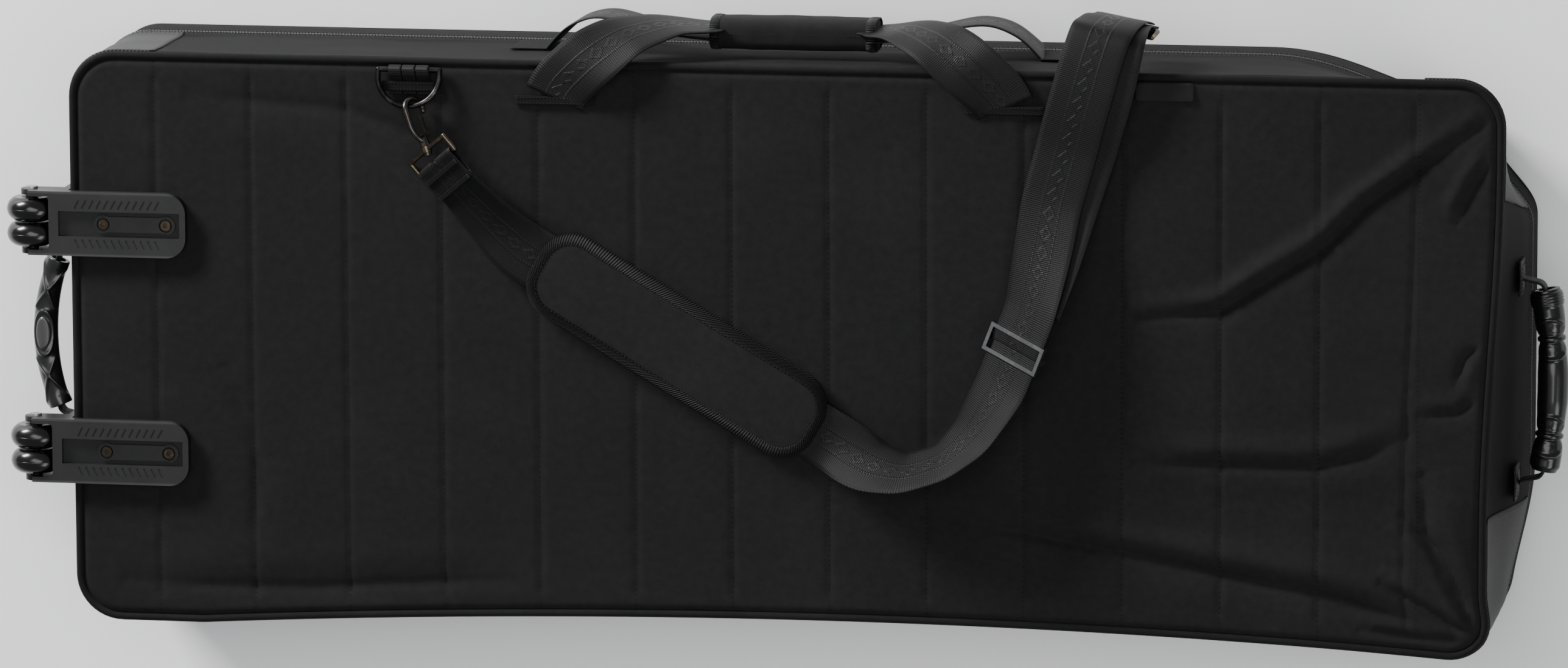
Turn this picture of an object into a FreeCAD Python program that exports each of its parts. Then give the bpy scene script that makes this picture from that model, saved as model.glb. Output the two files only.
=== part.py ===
"""Wheeled soft gear bag: quilted back panel, zipped front cover, tow wheels, grips and a shoulder strap.

The bag lies on its front cover. +X points to the tow-grip end, -X to the wheels, +Y to the carry handle
and +Z up, out of the back panel. The origin is the centre of the front cover's flat outer face.
All sizes are millimetres.
"""
import FreeCAD, Part
import math
import os

from FreeCAD import Matrix, Placement, Rotation, Vector

os.makedirs("parts", exist_ok=True)

X = Vector(1, 0, 0)
Y = Vector(0, 1, 0)
Z = Vector(0, 0, 1)

# ---- Driving sizes -------------------------------------------------------------------------------------
PANEL_L = 1190.0          # back panel, along X
PANEL_W = 474.0           # back panel, along Y
DEPTH = 172.0             # front cover's outer face to the back panel's outer face
CORNER_R = 36.0           # panel corners, to the piping's centre line
ZIP_Z = 48.0              # height of the zip and of the cover's hinge above the front face

PIPING_R = 3.0
FABRIC_T = 1.5
FOAM_T = 8.0
SIDE_FOAM_T = 6.0
LINING_T = 1.0
GUSSET_PROUD = 3.0        # the side walls stand this far outside the piping's centre line
PATCH_T = 1.2

TAPE_T = 1.0
TAPE_H = 11.0
HEM_GAP = 4.0             # each wall stops this far short of the zip's middle line
CHAIN_T = 2.4
CHAIN_H = 2.6
SLIDER_L = 13.0
SLIDER_H = 9.0
SLIDER_POST = 3.0
PULL_L = 34.0
PULL_W = 8.0
SLIDER_REST_X = 9.0       # the closed zip's sliders stand nose to nose, this far from the middle

WHEEL_R = 21.0
WHEEL_W = 19.5
WHEEL_GAP = 1.2           # between the two wheels of a pair
AXLE_R = 3.0
HUB_R = 9.0
BORE_CLEAR = 0.05
AXLE_OUT = 37.0           # wheel axle beyond the piping's centre line
AXLE_Z = DEPTH - 7.0
BRACKET_Y = 96.0          # bracket centres either side of the bag's middle
BRACKET_W = 54.0
BRACKET_LEN = 117.0
BRACKET_IN = 97.0         # how far the plate reaches in over the panel
BRACKET_T = 8.5
CHEEK_T = 4.5
LEG_H = 34.0
LEG_T = 6.5
BOLT_R = 2.5
BOLT_HEAD_R = 4.2
BOLT_HEAD_H = 3.2
SINK_R = 5.6
BOLT_IN = (27.0, 80.0)    # bolts, in from the piping's centre line
BACKING_T = 3.5
NUT_R = 5.0
NUT_T = 3.6

WEB_W = 50.0              # shoulder strap and carry-handle webbing
WEB_T = 2.0
FIT = 0.3                 # air between pieces of different bodies

RING_WIRE_R = 2.25
RING_W = 56.0
RING_D = 35.0
RING_LEFT_X = -308.0
RING_RIGHT_X = 268.0
RING_INSET = 6.0          # ring bar inside the piping's centre line
TAB_W = 46.0
TAB_T = 2.0

EYE_WIRE_R = 2.0
EYE_H = 14.0
HOOK_LEN = 35.0           # swivel to the centre of the hook's bow
HOOK_GRIP = 37.3          # swivel to the ring's wire
HOOK_BOW_R = 9.0
HOOK_WIRE_R = 2.4
SWIVEL_R = 2.0

PAD_L = 272.0
PAD_W = 75.0
PAD_T = 12.0
PAD_END_R = 30.0
PAD_AT = Vector(-85, 7, 0)
PAD_TURN = -30.6
PAD_TRAVEL = 12.0

GLIDE_W = 57.0
GLIDE_L = 24.0
GLIDE_BAR = 3.2
GLIDE_AT = Vector(198, 13.5, 0)
GLIDE_TURN = 69.0
GLIDE_BANK = -28.0
GLIDE_LIFT = 17.5
GLIDE_TRAVEL = 18.0

WRAP_L = 138.0
WRAP_Y = 28.0
WRAP_Z = 42.0
WRAP_WALL = 6.0
HANDLE_BASE_X = 187.0
WELT_W = 67.0
WELT_H = 7.0
WELT_IN = 26.0            # the sewn welt's outer edge, in from the piping
BAND_T = 2.6
WRAP_AT = Vector(4, PANEL_W / 2 + 22, DEPTH - 60)

GRIP_OUT = 34.0           # grip centre line beyond the piping's centre line
GRIP_LEFT = dict(y=-6.0, z=118.0, length=124.0, radius=10.5)
GRIP_RIGHT = dict(y=-16.0, z=100.0, length=150.0, radius=14.0)
GRIP_WEB = 20.0
ANCHOR_T = 3.0
FOOT_R = 1.6

# ---- Sizes worked out from them ------------------------------------------------------------------------
HALF_L = PANEL_L / 2
HALF_W = PANEL_W / 2
WALL_OUT = GUSSET_PROUD                       # offsets from the piping's centre line, outwards
WALL_IN = WALL_OUT - FABRIC_T
FOAM_IN = WALL_IN - SIDE_FOAM_T
LINING_IN = FOAM_IN - LINING_T
SEAM_Z = DEPTH - 2 * PIPING_R                 # top of the side wall, under the back piping
PANEL_OFFSET = -PIPING_R - 0.5                # the flat panels stop just inside the piping
COVER_UNDER = DEPTH - FABRIC_T
FOAM_UNDER = COVER_UNDER - FOAM_T
LINING_UNDER = FOAM_UNDER - LINING_T
EYE_W = WEB_W + 4 * EYE_WIRE_R + 4 * FIT
LAYER = WEB_T + 1.4                           # one strap layer to the next, middle to middle


# ---- Shape helpers -------------------------------------------------------------------------------------
def save(name, *shapes):
    shape = shapes[0] if len(shapes) == 1 else Part.makeCompound(list(shapes))
    shape.exportStep("parts/" + name + ".step")


def rounded_outline(offset, z):
    """The panel's outline, moved outwards by offset, as a closed wire at height z."""
    a = HALF_L + offset
    b = HALF_W + offset
    r = max(CORNER_R + offset, 1.0)
    s = r * math.sin(math.radians(45))
    edges = []
    for qx, qy, ahead in ((1, 1, False), (-1, 1, True), (-1, -1, False), (1, -1, True)):
        c = Vector(qx * (a - r), qy * (b - r), z)
        on_x = c + Vector(qx * r, 0, 0)
        on_y = c + Vector(0, qy * r, 0)
        middle = c + Vector(qx * s, qy * s, 0)
        first, last = (on_y, on_x) if ahead else (on_x, on_y)
        edges.append(Part.Arc(first, middle, last).toShape())
    joined = []
    for i, arc in enumerate(edges):
        follow = edges[(i + 1) % 4]
        joined.append(arc)
        joined.append(Part.makeLine(arc.lastVertex(True).Point, follow.firstVertex(True).Point))
    return Part.Wire(joined)


def slab(offset, z0, z1):
    return Part.Face(rounded_outline(offset, z0)).extrude(Vector(0, 0, z1 - z0))


def wall(outer, inner, z0, z1):
    return slab(outer, z0, z1).cut(slab(inner, z0 - 1, z1 + 1))


def box(x0, x1, y0, y1, z0, z1):
    return Part.makeBox(x1 - x0, y1 - y0, z1 - z0, Vector(x0, y0, z0))


def rod(radius, start, end):
    span = end - start
    return Part.makeCylinder(radius, span.Length, start, span)


def tube(radius, wire):
    """A round bar along a wire."""
    edge = wire.OrderedEdges[0]
    start = edge.firstVertex(True).Point
    ahead = edge.valueAt(edge.FirstParameter + 0.01) - edge.valueAt(edge.FirstParameter)
    if edge.Orientation == "Reversed":
        ahead = edge.valueAt(edge.LastParameter - 0.01) - edge.valueAt(edge.LastParameter)
    ring = Part.Wire(Part.makeCircle(radius, start, ahead))
    return wire.makePipeShell([ring], True, True)


def frame_at(origin, along, across):
    """A placement whose x runs along, whose y is nearest to across, and whose z is the third."""
    x = Vector(along).normalize()
    z = x.cross(across).normalize()
    y = z.cross(x)
    m = Matrix(x.x, y.x, z.x, origin.x, x.y, y.y, z.y, origin.y, x.z, y.z, z.z, origin.z, 0, 0, 0, 1)
    return Placement(m)


def heading(turn):
    return Vector(math.cos(math.radians(turn)), math.sin(math.radians(turn)), 0)


def banked_across(along, bank):
    """The level direction to the left of along, with its far side raised by bank degrees."""
    level = Z.cross(along).normalize()
    return Rotation(Vector(along), bank).multVec(level)


def web_frames(points, turns, first=None, last=None):
    """At each point, the webbing's direction across and its upward normal.

    A turn is either the bank about the run, in degrees, or the direction across itself.
    """
    frames = []
    for i in range(len(points)):
        before = points[max(i - 1, 0)]
        after = points[min(i + 1, len(points) - 1)]
        along = (after - before).normalize()
        if i == 0 and first is not None:
            along = first
        if i == len(points) - 1 and last is not None:
            along = last
        if isinstance(turns[i], Vector):
            across = (turns[i] - along * turns[i].dot(along)).normalize()
        else:
            across = banked_across(along, turns[i])
        frames.append((across, along.cross(across).normalize()))
    return frames


def ribbon(points, frames, width=WEB_W, thick=WEB_T):
    """Webbing through the points, square to the frame at each."""
    sections = []
    for p, (across, normal) in zip(points, frames):
        side = across * (width / 2)
        up = normal * (thick / 2)
        corners = [p + side + up, p - side + up, p - side - up, p + side - up]
        sections.append(Part.makePolygon(corners + corners[:1]))
    return Part.makeLoft(sections, True, True)


def rounded_box(lx, ly, lz, r):
    """A block on the origin, with its four upright edges rounded."""
    block = Part.makeBox(lx, ly, lz, Vector(-lx / 2, -ly / 2, -lz / 2))
    upright = [e for e in block.Edges if abs(e.tangentAt(e.FirstParameter).z) > 0.99]
    return block.makeFillet(r, upright)


# ---- Front cover: the body that lies on the floor ------------------------------------------------------
def front_cover():
    save("front_cover", slab(PANEL_OFFSET, 0, FABRIC_T))
    save("front_foam", slab(PANEL_OFFSET - 0.5, FABRIC_T, FABRIC_T + FOAM_T))
    floor = FABRIC_T + FOAM_T
    save("front_lining", slab(PANEL_OFFSET - 0.5, floor, floor + LINING_T))
    save("front_gusset", wall(WALL_OUT, WALL_IN, 2 * PIPING_R, ZIP_Z - HEM_GAP))
    save("front_piping", tube(PIPING_R, rounded_outline(0, PIPING_R)))


def three_sides(shape):
    """Keeps the zip's three sides and drops the hinge side's run."""
    reach = HALF_L - 2 * CORNER_R
    return shape.cut(box(-reach, reach, -HALF_W - 20, -HALF_W + 20, 0, DEPTH))


def short_of_hinge(shape):
    """The coil chain ends before the two corners beside the hinge."""
    far = PANEL_L
    return shape.cut(box(-far, far, -PANEL_W, CORNER_R - HALF_W, 0, DEPTH))


def zip_fastener():
    """Tapes sewn behind the two walls' hems, a coil chain on each, a slider and a pull at either end."""
    tape_out = WALL_IN
    tape_in = WALL_IN - TAPE_T
    save("zip_tape_lower", three_sides(wall(tape_out, tape_in, ZIP_Z - TAPE_H, ZIP_Z - FIT / 2)))
    save("zip_tape_upper", three_sides(wall(tape_out, tape_in, ZIP_Z + FIT / 2, ZIP_Z + TAPE_H)))
    chain_out = tape_out + CHAIN_T
    for name, low, high in (
        ("zip_chain_lower", ZIP_Z - CHAIN_H, ZIP_Z - FIT / 2),
        ("zip_chain_upper", ZIP_Z + FIT / 2, ZIP_Z + CHAIN_H),
    ):
        save(name, short_of_hinge(wall(chain_out, tape_out, low, high)))

    front = HALF_W + chain_out + FIT
    under = ZIP_Z - CHAIN_H - FIT
    for name, side in (("left", -1), ("right", 1)):
        x = side * SLIDER_REST_X
        low, high = x - SLIDER_L / 2, x + SLIDER_L / 2
        plate = box(low, high, front, front + 1.6, ZIP_Z - SLIDER_H / 2, ZIP_Z + SLIDER_H / 2)
        lip = box(low, high, front - CHAIN_T, front, ZIP_Z - HEM_GAP + FIT, under)
        post = box(x - 4, x + 4, front + 1.6, front + 1.6 + SLIDER_POST, ZIP_Z - 1.2, ZIP_Z + 1.2)
        top = Vector(x, front + 3.1, ZIP_Z)
        eye = rod(0.9, top - Z * 3, top + Z * 3)
        save("zip_slider_" + name, plate.fuse([lip, post.cut(eye)]).removeSplitter())
        pin = rod(0.6, top - Z * 2.4, top + Z * 2.4)
        start, end = sorted((x - side * 1.0, x + side * PULL_L))
        cheeks = [box(start, end, front + 2.2, front + 4.0, ZIP_Z + s * 2.1 - 0.6, ZIP_Z + s * 2.1 + 0.6)
                  for s in (-1, 1)]
        start, end = sorted((x + side * 6, x + side * PULL_L))
        leaf = box(start, end, front + 2.2, front + 4.0, ZIP_Z - PULL_W / 2, ZIP_Z + PULL_W / 2)
        save("zip_pull_" + name, leaf.fuse(cheeks + [pin]).removeSplitter())


def hinge_flap():
    reach = HALF_L - 2 * CORNER_R - 6
    y = -HALF_W - WALL_IN
    save("hinge_flap", box(-reach, reach, y, y + TAPE_T, ZIP_Z - 16, ZIP_Z - FIT))


# ---- Shell: back panel, side walls and everything sewn or bolted to them -------------------------------
def bolt_places():
    for side in (1, -1):
        for inward in BOLT_IN:
            yield Vector(-HALF_L + inward, side * BRACKET_Y, 0)


def shell_panels():
    cover = slab(PANEL_OFFSET, COVER_UNDER, DEPTH)
    foam = slab(PANEL_OFFSET - 0.5, FOAM_UNDER, COVER_UNDER)
    for p in bolt_places():
        cover = cover.cut(rod(BOLT_R + 0.25, p + Z * (COVER_UNDER - 1), p + Z * (DEPTH + 1)))
        foam = foam.cut(rod(NUT_R + 1, p + Z * (FOAM_UNDER - 1), p + Z * COVER_UNDER))
    for side in (1, -1):
        foam = foam.cut(backing_block(side, 1.0, BACKING_T))
    save("back_cover", cover)
    save("back_foam", foam)
    low = ZIP_Z + HEM_GAP
    save("gusset", wall(WALL_OUT, WALL_IN, low, SEAM_Z).fuse(hinge_hem()).removeSplitter())
    save("gusset_foam", wall(WALL_IN, FOAM_IN, ZIP_Z + TAPE_H + 1, FOAM_UNDER))
    inner = wall(FOAM_IN, LINING_IN, ZIP_Z + TAPE_H + 1, FOAM_UNDER)
    save("shell_lining", inner.fuse(slab(LINING_IN, LINING_UNDER, FOAM_UNDER)).removeSplitter())
    save("back_piping", tube(PIPING_R, rounded_outline(0, DEPTH - PIPING_R)))


def hinge_hem():
    """On the hinge side the wall runs down to the hinge line itself."""
    reach = HALF_L - 2 * CORNER_R - 6
    y = -HALF_W - WALL_OUT
    return box(-reach, reach, y, y + FABRIC_T, ZIP_Z + FIT, ZIP_Z + 6)


def backing_block(side, grow, thick):
    x0 = -HALF_L + BOLT_IN[0] - 14 - grow
    x1 = -HALF_L + BOLT_IN[1] + 14 + grow
    half = 20 + grow
    y = side * BRACKET_Y
    return box(x0, x1, y - half, y + half, COVER_UNDER - thick, COVER_UNDER)


def patches():
    """Coarse mesh wear patches over the four corners, and one along the whole hinge side."""
    skin = wall(WALL_OUT + PATCH_T, WALL_OUT, ZIP_Z + 6, SEAM_Z - 1)
    big = 2000.0
    corners = []
    for sx, sy, run_x, run_y in ((-1, 1, 70, 90), (1, 1, 66, 100), (-1, -1, 70, 96), (1, -1, 66, 118)):
        x0, x1 = sorted((sx * (HALF_L - run_x), sx * big))
        y0, y1 = sorted((sy * (HALF_W - run_y), sy * big))
        corners.append(skin.common(box(x0, x1, y0, y1, 0, DEPTH)))
    low = -HALF_W - WALL_OUT - PATCH_T
    reach = HALF_L - 70 - 0.5
    strip = box(-reach, reach, low, low + PATCH_T, ZIP_Z + 6, SEAM_Z - 1)
    save("wear_patches", strip, *corners)


def wheel_bracket(side):
    """L-shaped moulding: a plate bolted to the back panel, a leg down the end wall and two cheeks."""
    y = side * BRACKET_Y
    x_in = -HALF_L + BRACKET_IN
    x_out = x_in - BRACKET_LEN
    half = BRACKET_W / 2
    top = DEPTH + BRACKET_T
    plate = box(x_out, x_in, y - half, y + half, DEPTH, top)
    ends = [e for e in plate.Edges
            if abs(e.tangentAt(e.FirstParameter).z) > 0.99 and e.BoundBox.XMin > x_in - 1]
    plate = plate.makeFillet(17, ends)
    leg_x = -HALF_L - WALL_OUT - PATCH_T - FIT
    leg = box(leg_x - LEG_T, leg_x, y - half, y + half, DEPTH - LEG_H, DEPTH)
    body = plate.fuse(leg)
    tip_x = -HALF_L - AXLE_OUT
    for s in (-1, 1):
        outer = y + s * half
        y0, y1 = sorted((outer, outer - s * CHEEK_T))
        arm = box(tip_x, leg_x, y0, y1, AXLE_Z - 9, top)
        nose = Part.makeCylinder(9, CHEEK_T, Vector(tip_x, y0, AXLE_Z), Y)
        rise = box(tip_x, tip_x + 9, y0, y1, AXLE_Z, top - 2)
        boss_y = y + s * (WHEEL_W + WHEEL_GAP / 2 + FIT)
        boss = rod(AXLE_R + 2.2, Vector(tip_x, y0 if s > 0 else y1, AXLE_Z), Vector(tip_x, boss_y, AXLE_Z))
        body = body.fuse([arm, nose, rise, boss])
    body = body.cut(rod(AXLE_R, Vector(tip_x, y - half - 1, AXLE_Z), Vector(tip_x, y + half + 1, AXLE_Z)))
    room = Part.makeCylinder(WHEEL_R + 2.5, 2 * (WHEEL_W + FIT) + WHEEL_GAP,
                             Vector(tip_x, y - WHEEL_W - FIT - WHEEL_GAP / 2, AXLE_Z), Y)
    body = body.cut(room)
    channel = box(x_in - 108, x_in - 5, y - 10.5, y + 10.5, top - 4.5, top + 1)
    body = body.cut(channel)
    for inward in BOLT_IN:
        p = Vector(-HALF_L + inward, y, DEPTH)
        seat = rod(SINK_R + 2.4, p, p + Z * (BRACKET_T - 2.0))
        body = body.fuse(seat)
    saddle = box(-HALF_L + BOLT_IN[0], -HALF_L + BOLT_IN[1], y - 6.5, y + 6.5, DEPTH, top - 1.2)
    body = body.fuse(saddle)
    for inward in BOLT_IN:
        p = Vector(-HALF_L + inward, y, DEPTH)
        body = body.cut(rod(SINK_R, p + Z * (BRACKET_T - 4.5), p + Z * (BRACKET_T + 1)))
        body = body.cut(rod(BOLT_R + 0.25, p - Z, p + Z * BRACKET_T))
    for s in (-1, 1):
        for i in range(12):
            at = Vector(x_in - 24 - i * 6.2, y + s * 16.5, top)
            groove = Part.makeBox(1.6, 8, 1.2, Vector(-0.8, -4, -0.6))
            groove.Placement = Placement(at, Rotation(Z, -s * 28))
            body = body.cut(groove)
    return body.removeSplitter()


def brackets_and_wheels():
    names = {1: "upper", -1: "lower"}
    tip_x = -HALF_L - AXLE_OUT
    bolts = []
    nuts = []
    backing = []
    axles = []
    for side in (1, -1):
        save("wheel_bracket_" + names[side], wheel_bracket(side))
        y = side * BRACKET_Y
        plate = backing_block(side, 0, BACKING_T)
        for inward in BOLT_IN:
            p = Vector(-HALF_L + inward, y, 0)
            seat = DEPTH + BRACKET_T - 4.5
            head = rod(BOLT_HEAD_R, p + Z * seat, p + Z * (seat + BOLT_HEAD_H))
            hexagon = [p + heading(60 * k) * 2.0 + Z * (seat + 1) for k in range(6)]
            socket = Part.Face(Part.makePolygon(hexagon + hexagon[:1])).extrude(Z * 5)
            tail = COVER_UNDER - BACKING_T - NUT_T
            bolts.append(head.fuse(rod(BOLT_R, p + Z * tail, p + Z * seat)).cut(socket))
            hole = rod(BOLT_R, p + Z * (tail - 1), p + Z * COVER_UNDER)
            plate = plate.cut(hole)
            flats = [p + heading(60 * k) * NUT_R + Z * tail for k in range(6)]
            nuts.append(Part.Face(Part.makePolygon(flats + flats[:1])).extrude(Z * NUT_T).cut(hole))
        backing.append(plate)
        reach = BRACKET_W / 2
        pin = rod(AXLE_R, Vector(tip_x, y - reach, AXLE_Z), Vector(tip_x, y + reach, AXLE_Z))
        heads = []
        for s in (-1, 1):
            face = Vector(tip_x, y + s * reach, AXLE_Z)
            heads.append(rod(AXLE_R + 2, face, face + Y * (s * 1.8)))
        axles.append(pin.fuse(heads).removeSplitter())
        for row, s in (("outer", 1), ("inner", -1)):
            middle = y + side * s * (WHEEL_W + WHEEL_GAP) / 2
            save("tyre_%s_%s" % (names[side], row), tyre(tip_x, middle))
            save("hub_%s_%s" % (names[side], row), hub(tip_x, middle))
    save("bracket_bolts", *bolts)
    save("bracket_nuts", *nuts)
    save("backing_plates", *backing)
    save("wheel_axles", *axles)


def tyre(x, y):
    """A rounded tread round the hub, full in the middle and falling away to its sides."""
    half = WHEEL_W / 2
    shoulder = WHEEL_R - 6.5
    points = [Vector(x, y - half, AXLE_Z + HUB_R), Vector(x, y - half, AXLE_Z + shoulder),
              Vector(x, y, AXLE_Z + WHEEL_R), Vector(x, y + half, AXLE_Z + shoulder),
              Vector(x, y + half, AXLE_Z + HUB_R)]
    tread = Part.Arc(points[1], points[2], points[3]).toShape()
    edges = [Part.makeLine(points[0], points[1]), tread, Part.makeLine(points[3], points[4]),
             Part.makeLine(points[4], points[0])]
    return Part.Face(Part.Wire(edges)).revolve(Vector(x, y, AXLE_Z), Y, 360)


def hub(x, y):
    start = Vector(x, y - WHEEL_W / 2, AXLE_Z)
    end = Vector(x, y + WHEEL_W / 2, AXLE_Z)
    return rod(HUB_R, start, end).cut(rod(AXLE_R + BORE_CLEAR, start - Y, end + Y))


# ---- Rings, hooks and the shoulder strap ---------------------------------------------------------------
def ring_bar(x):
    return Vector(x, HALF_W - RING_INSET, DEPTH + TAB_T + FIT + RING_WIRE_R)


def d_ring(x, fold):
    """A D of round wire: a straight bar in the tab and a half-round bow, folded about the bar."""
    side = RING_W / 2 - RING_WIRE_R
    deep = RING_D - 2 * RING_WIRE_R
    flat = 8.0
    a = Vector(-side, 0, 0)
    b = Vector(side, 0, 0)
    c = Vector(side, -flat, 0)
    d = Vector(-side, -flat, 0)
    bow = Part.Arc(c, Vector(0, -deep, 0), d).toShape()
    curve = Part.Wire([Part.makeLine(b, c), bow, Part.makeLine(d, a)])
    ring = tube(RING_WIRE_R, curve)
    bar = rod(RING_WIRE_R, a, b)
    balls = [Part.makeSphere(RING_WIRE_R, p) for p in (a, b)]
    ring = ring.fuse([bar] + balls).removeSplitter()
    ring.Placement = Placement(ring_bar(x), Rotation(X, fold))
    return ring


def ring_tab(x):
    """Webbing folded round the ring's bar, with its two tails sewn down on the panel."""
    bar = ring_bar(x)
    half = TAB_W / 2 - 6
    loop_out = RING_WIRE_R + FIT + TAB_T
    loop = rod(loop_out, bar - X * half, bar + X * half)
    loop = loop.cut(rod(RING_WIRE_R + FIT, bar - X * (half + 1), bar + X * (half + 1)))
    loop = loop.cut(box(x - 60, x + 60, bar.y - 20, bar.y + 20, DEPTH - 10, DEPTH))
    sewn = box(x - half, x + half, bar.y - 22, bar.y - 2, DEPTH, DEPTH + TAB_T)
    strip = box(x - TAB_W / 2, x + TAB_W / 2, bar.y - 18, bar.y - 10, DEPTH + TAB_T, DEPTH + TAB_T + 1.2)
    strip = strip.fuse(box(x - TAB_W / 2, x + TAB_W / 2, bar.y - 18, bar.y - 10, DEPTH, DEPTH + TAB_T))
    tab = loop.fuse([sewn]).cut(rod(RING_WIRE_R + FIT, bar - X * (half + 1), bar + X * (half + 1)))
    return tab.fuse(strip).removeSplitter()


def strap_eye(place, hook):
    """The swivel's rectangular eye, x towards the strap, y along its bars, bossed for the hook's pin."""
    half = EYE_W / 2 - EYE_WIRE_R
    corners = [Vector(0, half, 0), Vector(EYE_H, half, 0), Vector(EYE_H, -half, 0), Vector(0, -half, 0)]
    bars = [rod(EYE_WIRE_R, corners[i], corners[(i + 1) % 4]) for i in range(4)]
    balls = [Part.makeSphere(EYE_WIRE_R, c) for c in corners]
    eye = bars[0].fuse(bars[1:] + balls)
    eye.Placement = place
    boss = rod(4.2, Vector(-2.6, 0, 0), Vector(2.6, 0, 0))
    bore = rod(SWIVEL_R + BORE_CLEAR, Vector(-6, 0, 0), Vector(6, 0, 0))
    boss.Placement = hook
    bore.Placement = hook
    return eye.fuse(boss).cut(bore).removeSplitter()


def snap_hook(place):
    """Hook body: swivel pin, barrel, spine and bow. x runs from the swivel towards the ring."""
    pin = rod(SWIVEL_R, Vector(-4.6, 0, 0), Vector(5, 0, 0))
    head = rod(3.4, Vector(-5.0, 0, 0), Vector(-3.0, 0, 0))
    barrel = Part.makeCone(4.4, 3.4, 7, Vector(3.0, 0, 0), X)
    r = HOOK_BOW_R
    start = Vector(8, 0, 1)
    knee = Vector(22, 0, r)
    swing = ((knee.x - start.x) ** 2 + (r - start.z) ** 2) / (2 * (r - start.z))
    sweep = math.asin((knee.x - start.x) / swing) / 2
    middle = Vector(knee.x - swing * math.sin(sweep), 0, r - swing * (1 - math.cos(sweep)))
    shoulder = Vector(HOOK_LEN, 0, r)
    top = Vector(HOOK_LEN + r, 0, 0)
    tip = Vector(HOOK_LEN - 2.5, 0, -math.sqrt(r * r - 2.5 * 2.5))
    line = Part.Wire([Part.Arc(start, middle, knee).toShape(), Part.makeLine(knee, shoulder),
                      Part.Arc(shoulder, top, tip).toShape()])
    spine = tube(HOOK_WIRE_R, line)
    beak = Part.makeSphere(HOOK_WIRE_R, tip)
    ear = box(9, 14, -2.4, 2.4, -6.5, 1.0)
    hook = pin.fuse([head, barrel, spine, beak, ear])
    hook = hook.cut(box(8.4, 16, -1.3, 1.3, -8, -1.6))
    hinge = rod(0.8, Vector(11.5, -2.4, -4.6), Vector(11.5, 2.4, -4.6))
    hook = hook.fuse(hinge).removeSplitter()
    hook.Placement = place
    return hook


def snap_gate(place):
    """The sprung finger that closes the hook's mouth from the inside."""
    eye = rod(1.9, Vector(11.5, -1.0, -4.6), Vector(11.5, 1.0, -4.6))
    eye = eye.cut(rod(0.85, Vector(11.5, -2, -4.6), Vector(11.5, 2, -4.6)))
    finger = box(12.9, HOOK_LEN - 1.5, -1.0, 1.0, -5.9, -3.8)
    gate = eye.fuse(finger).removeSplitter()
    gate.Placement = place
    return gate


def hook_place(bow, towards, across):
    """The hook's swivel lies HOOK_GRIP short of the ring's bow, on the line that points to it."""
    along = Vector(towards).normalize()
    return frame_at(bow - along * HOOK_GRIP, along, across)


def ring_bow(x, fold):
    deep = RING_D - 2 * RING_WIRE_R
    return ring_bar(x) + Rotation(X, fold).multVec(Vector(0, -deep, 0))


# The left ring lies on the panel; its hook is rolled over and the eye leans, one end standing up.
RING1_FOLD = -15.0
HOOK1_ALONG = Vector(-13, 35.5, -7)
HOOK1_ROLL = -35.0
EYE1_TURN = -50.0
EYE1_BANK = 35.0
# The right ring is folded out over the edge, and its hook hangs down the wall under the strap.
RING2_FOLD = 166.0
HOOK2_ALONG = Vector(-0.20, -0.22, 0.95)

HOOK1_PLACE = hook_place(ring_bow(RING_LEFT_X, RING1_FOLD) + X * 5, HOOK1_ALONG,
                         banked_across(HOOK1_ALONG, HOOK1_ROLL))
HOOK2_PLACE = hook_place(ring_bow(RING_RIGHT_X, RING2_FOLD), HOOK2_ALONG, X)
EYE1_PLACE = frame_at(HOOK1_PLACE.Base, heading(EYE1_TURN), banked_across(heading(EYE1_TURN), EYE1_BANK))
EYE2_PLACE = frame_at(HOOK2_PLACE.Base, -HOOK2_ALONG, Vector(-0.98, 0.1, 0))


def web_loop(place, tail):
    """Webbing wrapped round the eye's far bar, with a doubled tail sewn back on itself."""
    outer = EYE_WIRE_R + FIT + WEB_T
    start = Vector(EYE_H, -WEB_W / 2, 0)
    end = Vector(EYE_H, WEB_W / 2, 0)
    loop = rod(outer, start, end)
    plate = Part.makeBox(tail, WEB_W, 2 * WEB_T, Vector(EYE_H, -WEB_W / 2, -WEB_T))
    loop = loop.fuse(plate).cut(rod(EYE_WIRE_R + FIT, start - Y, end + Y))
    loop.Placement = place
    return loop


def on_pad_line(distance):
    return PAD_AT + heading(PAD_TURN) * distance


def over_hook(down, out):
    """A point beside the hanging hook: down its length from the swivel, and out from it."""
    return EYE2_PLACE.multVec(Vector(down, 0, out))


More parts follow.
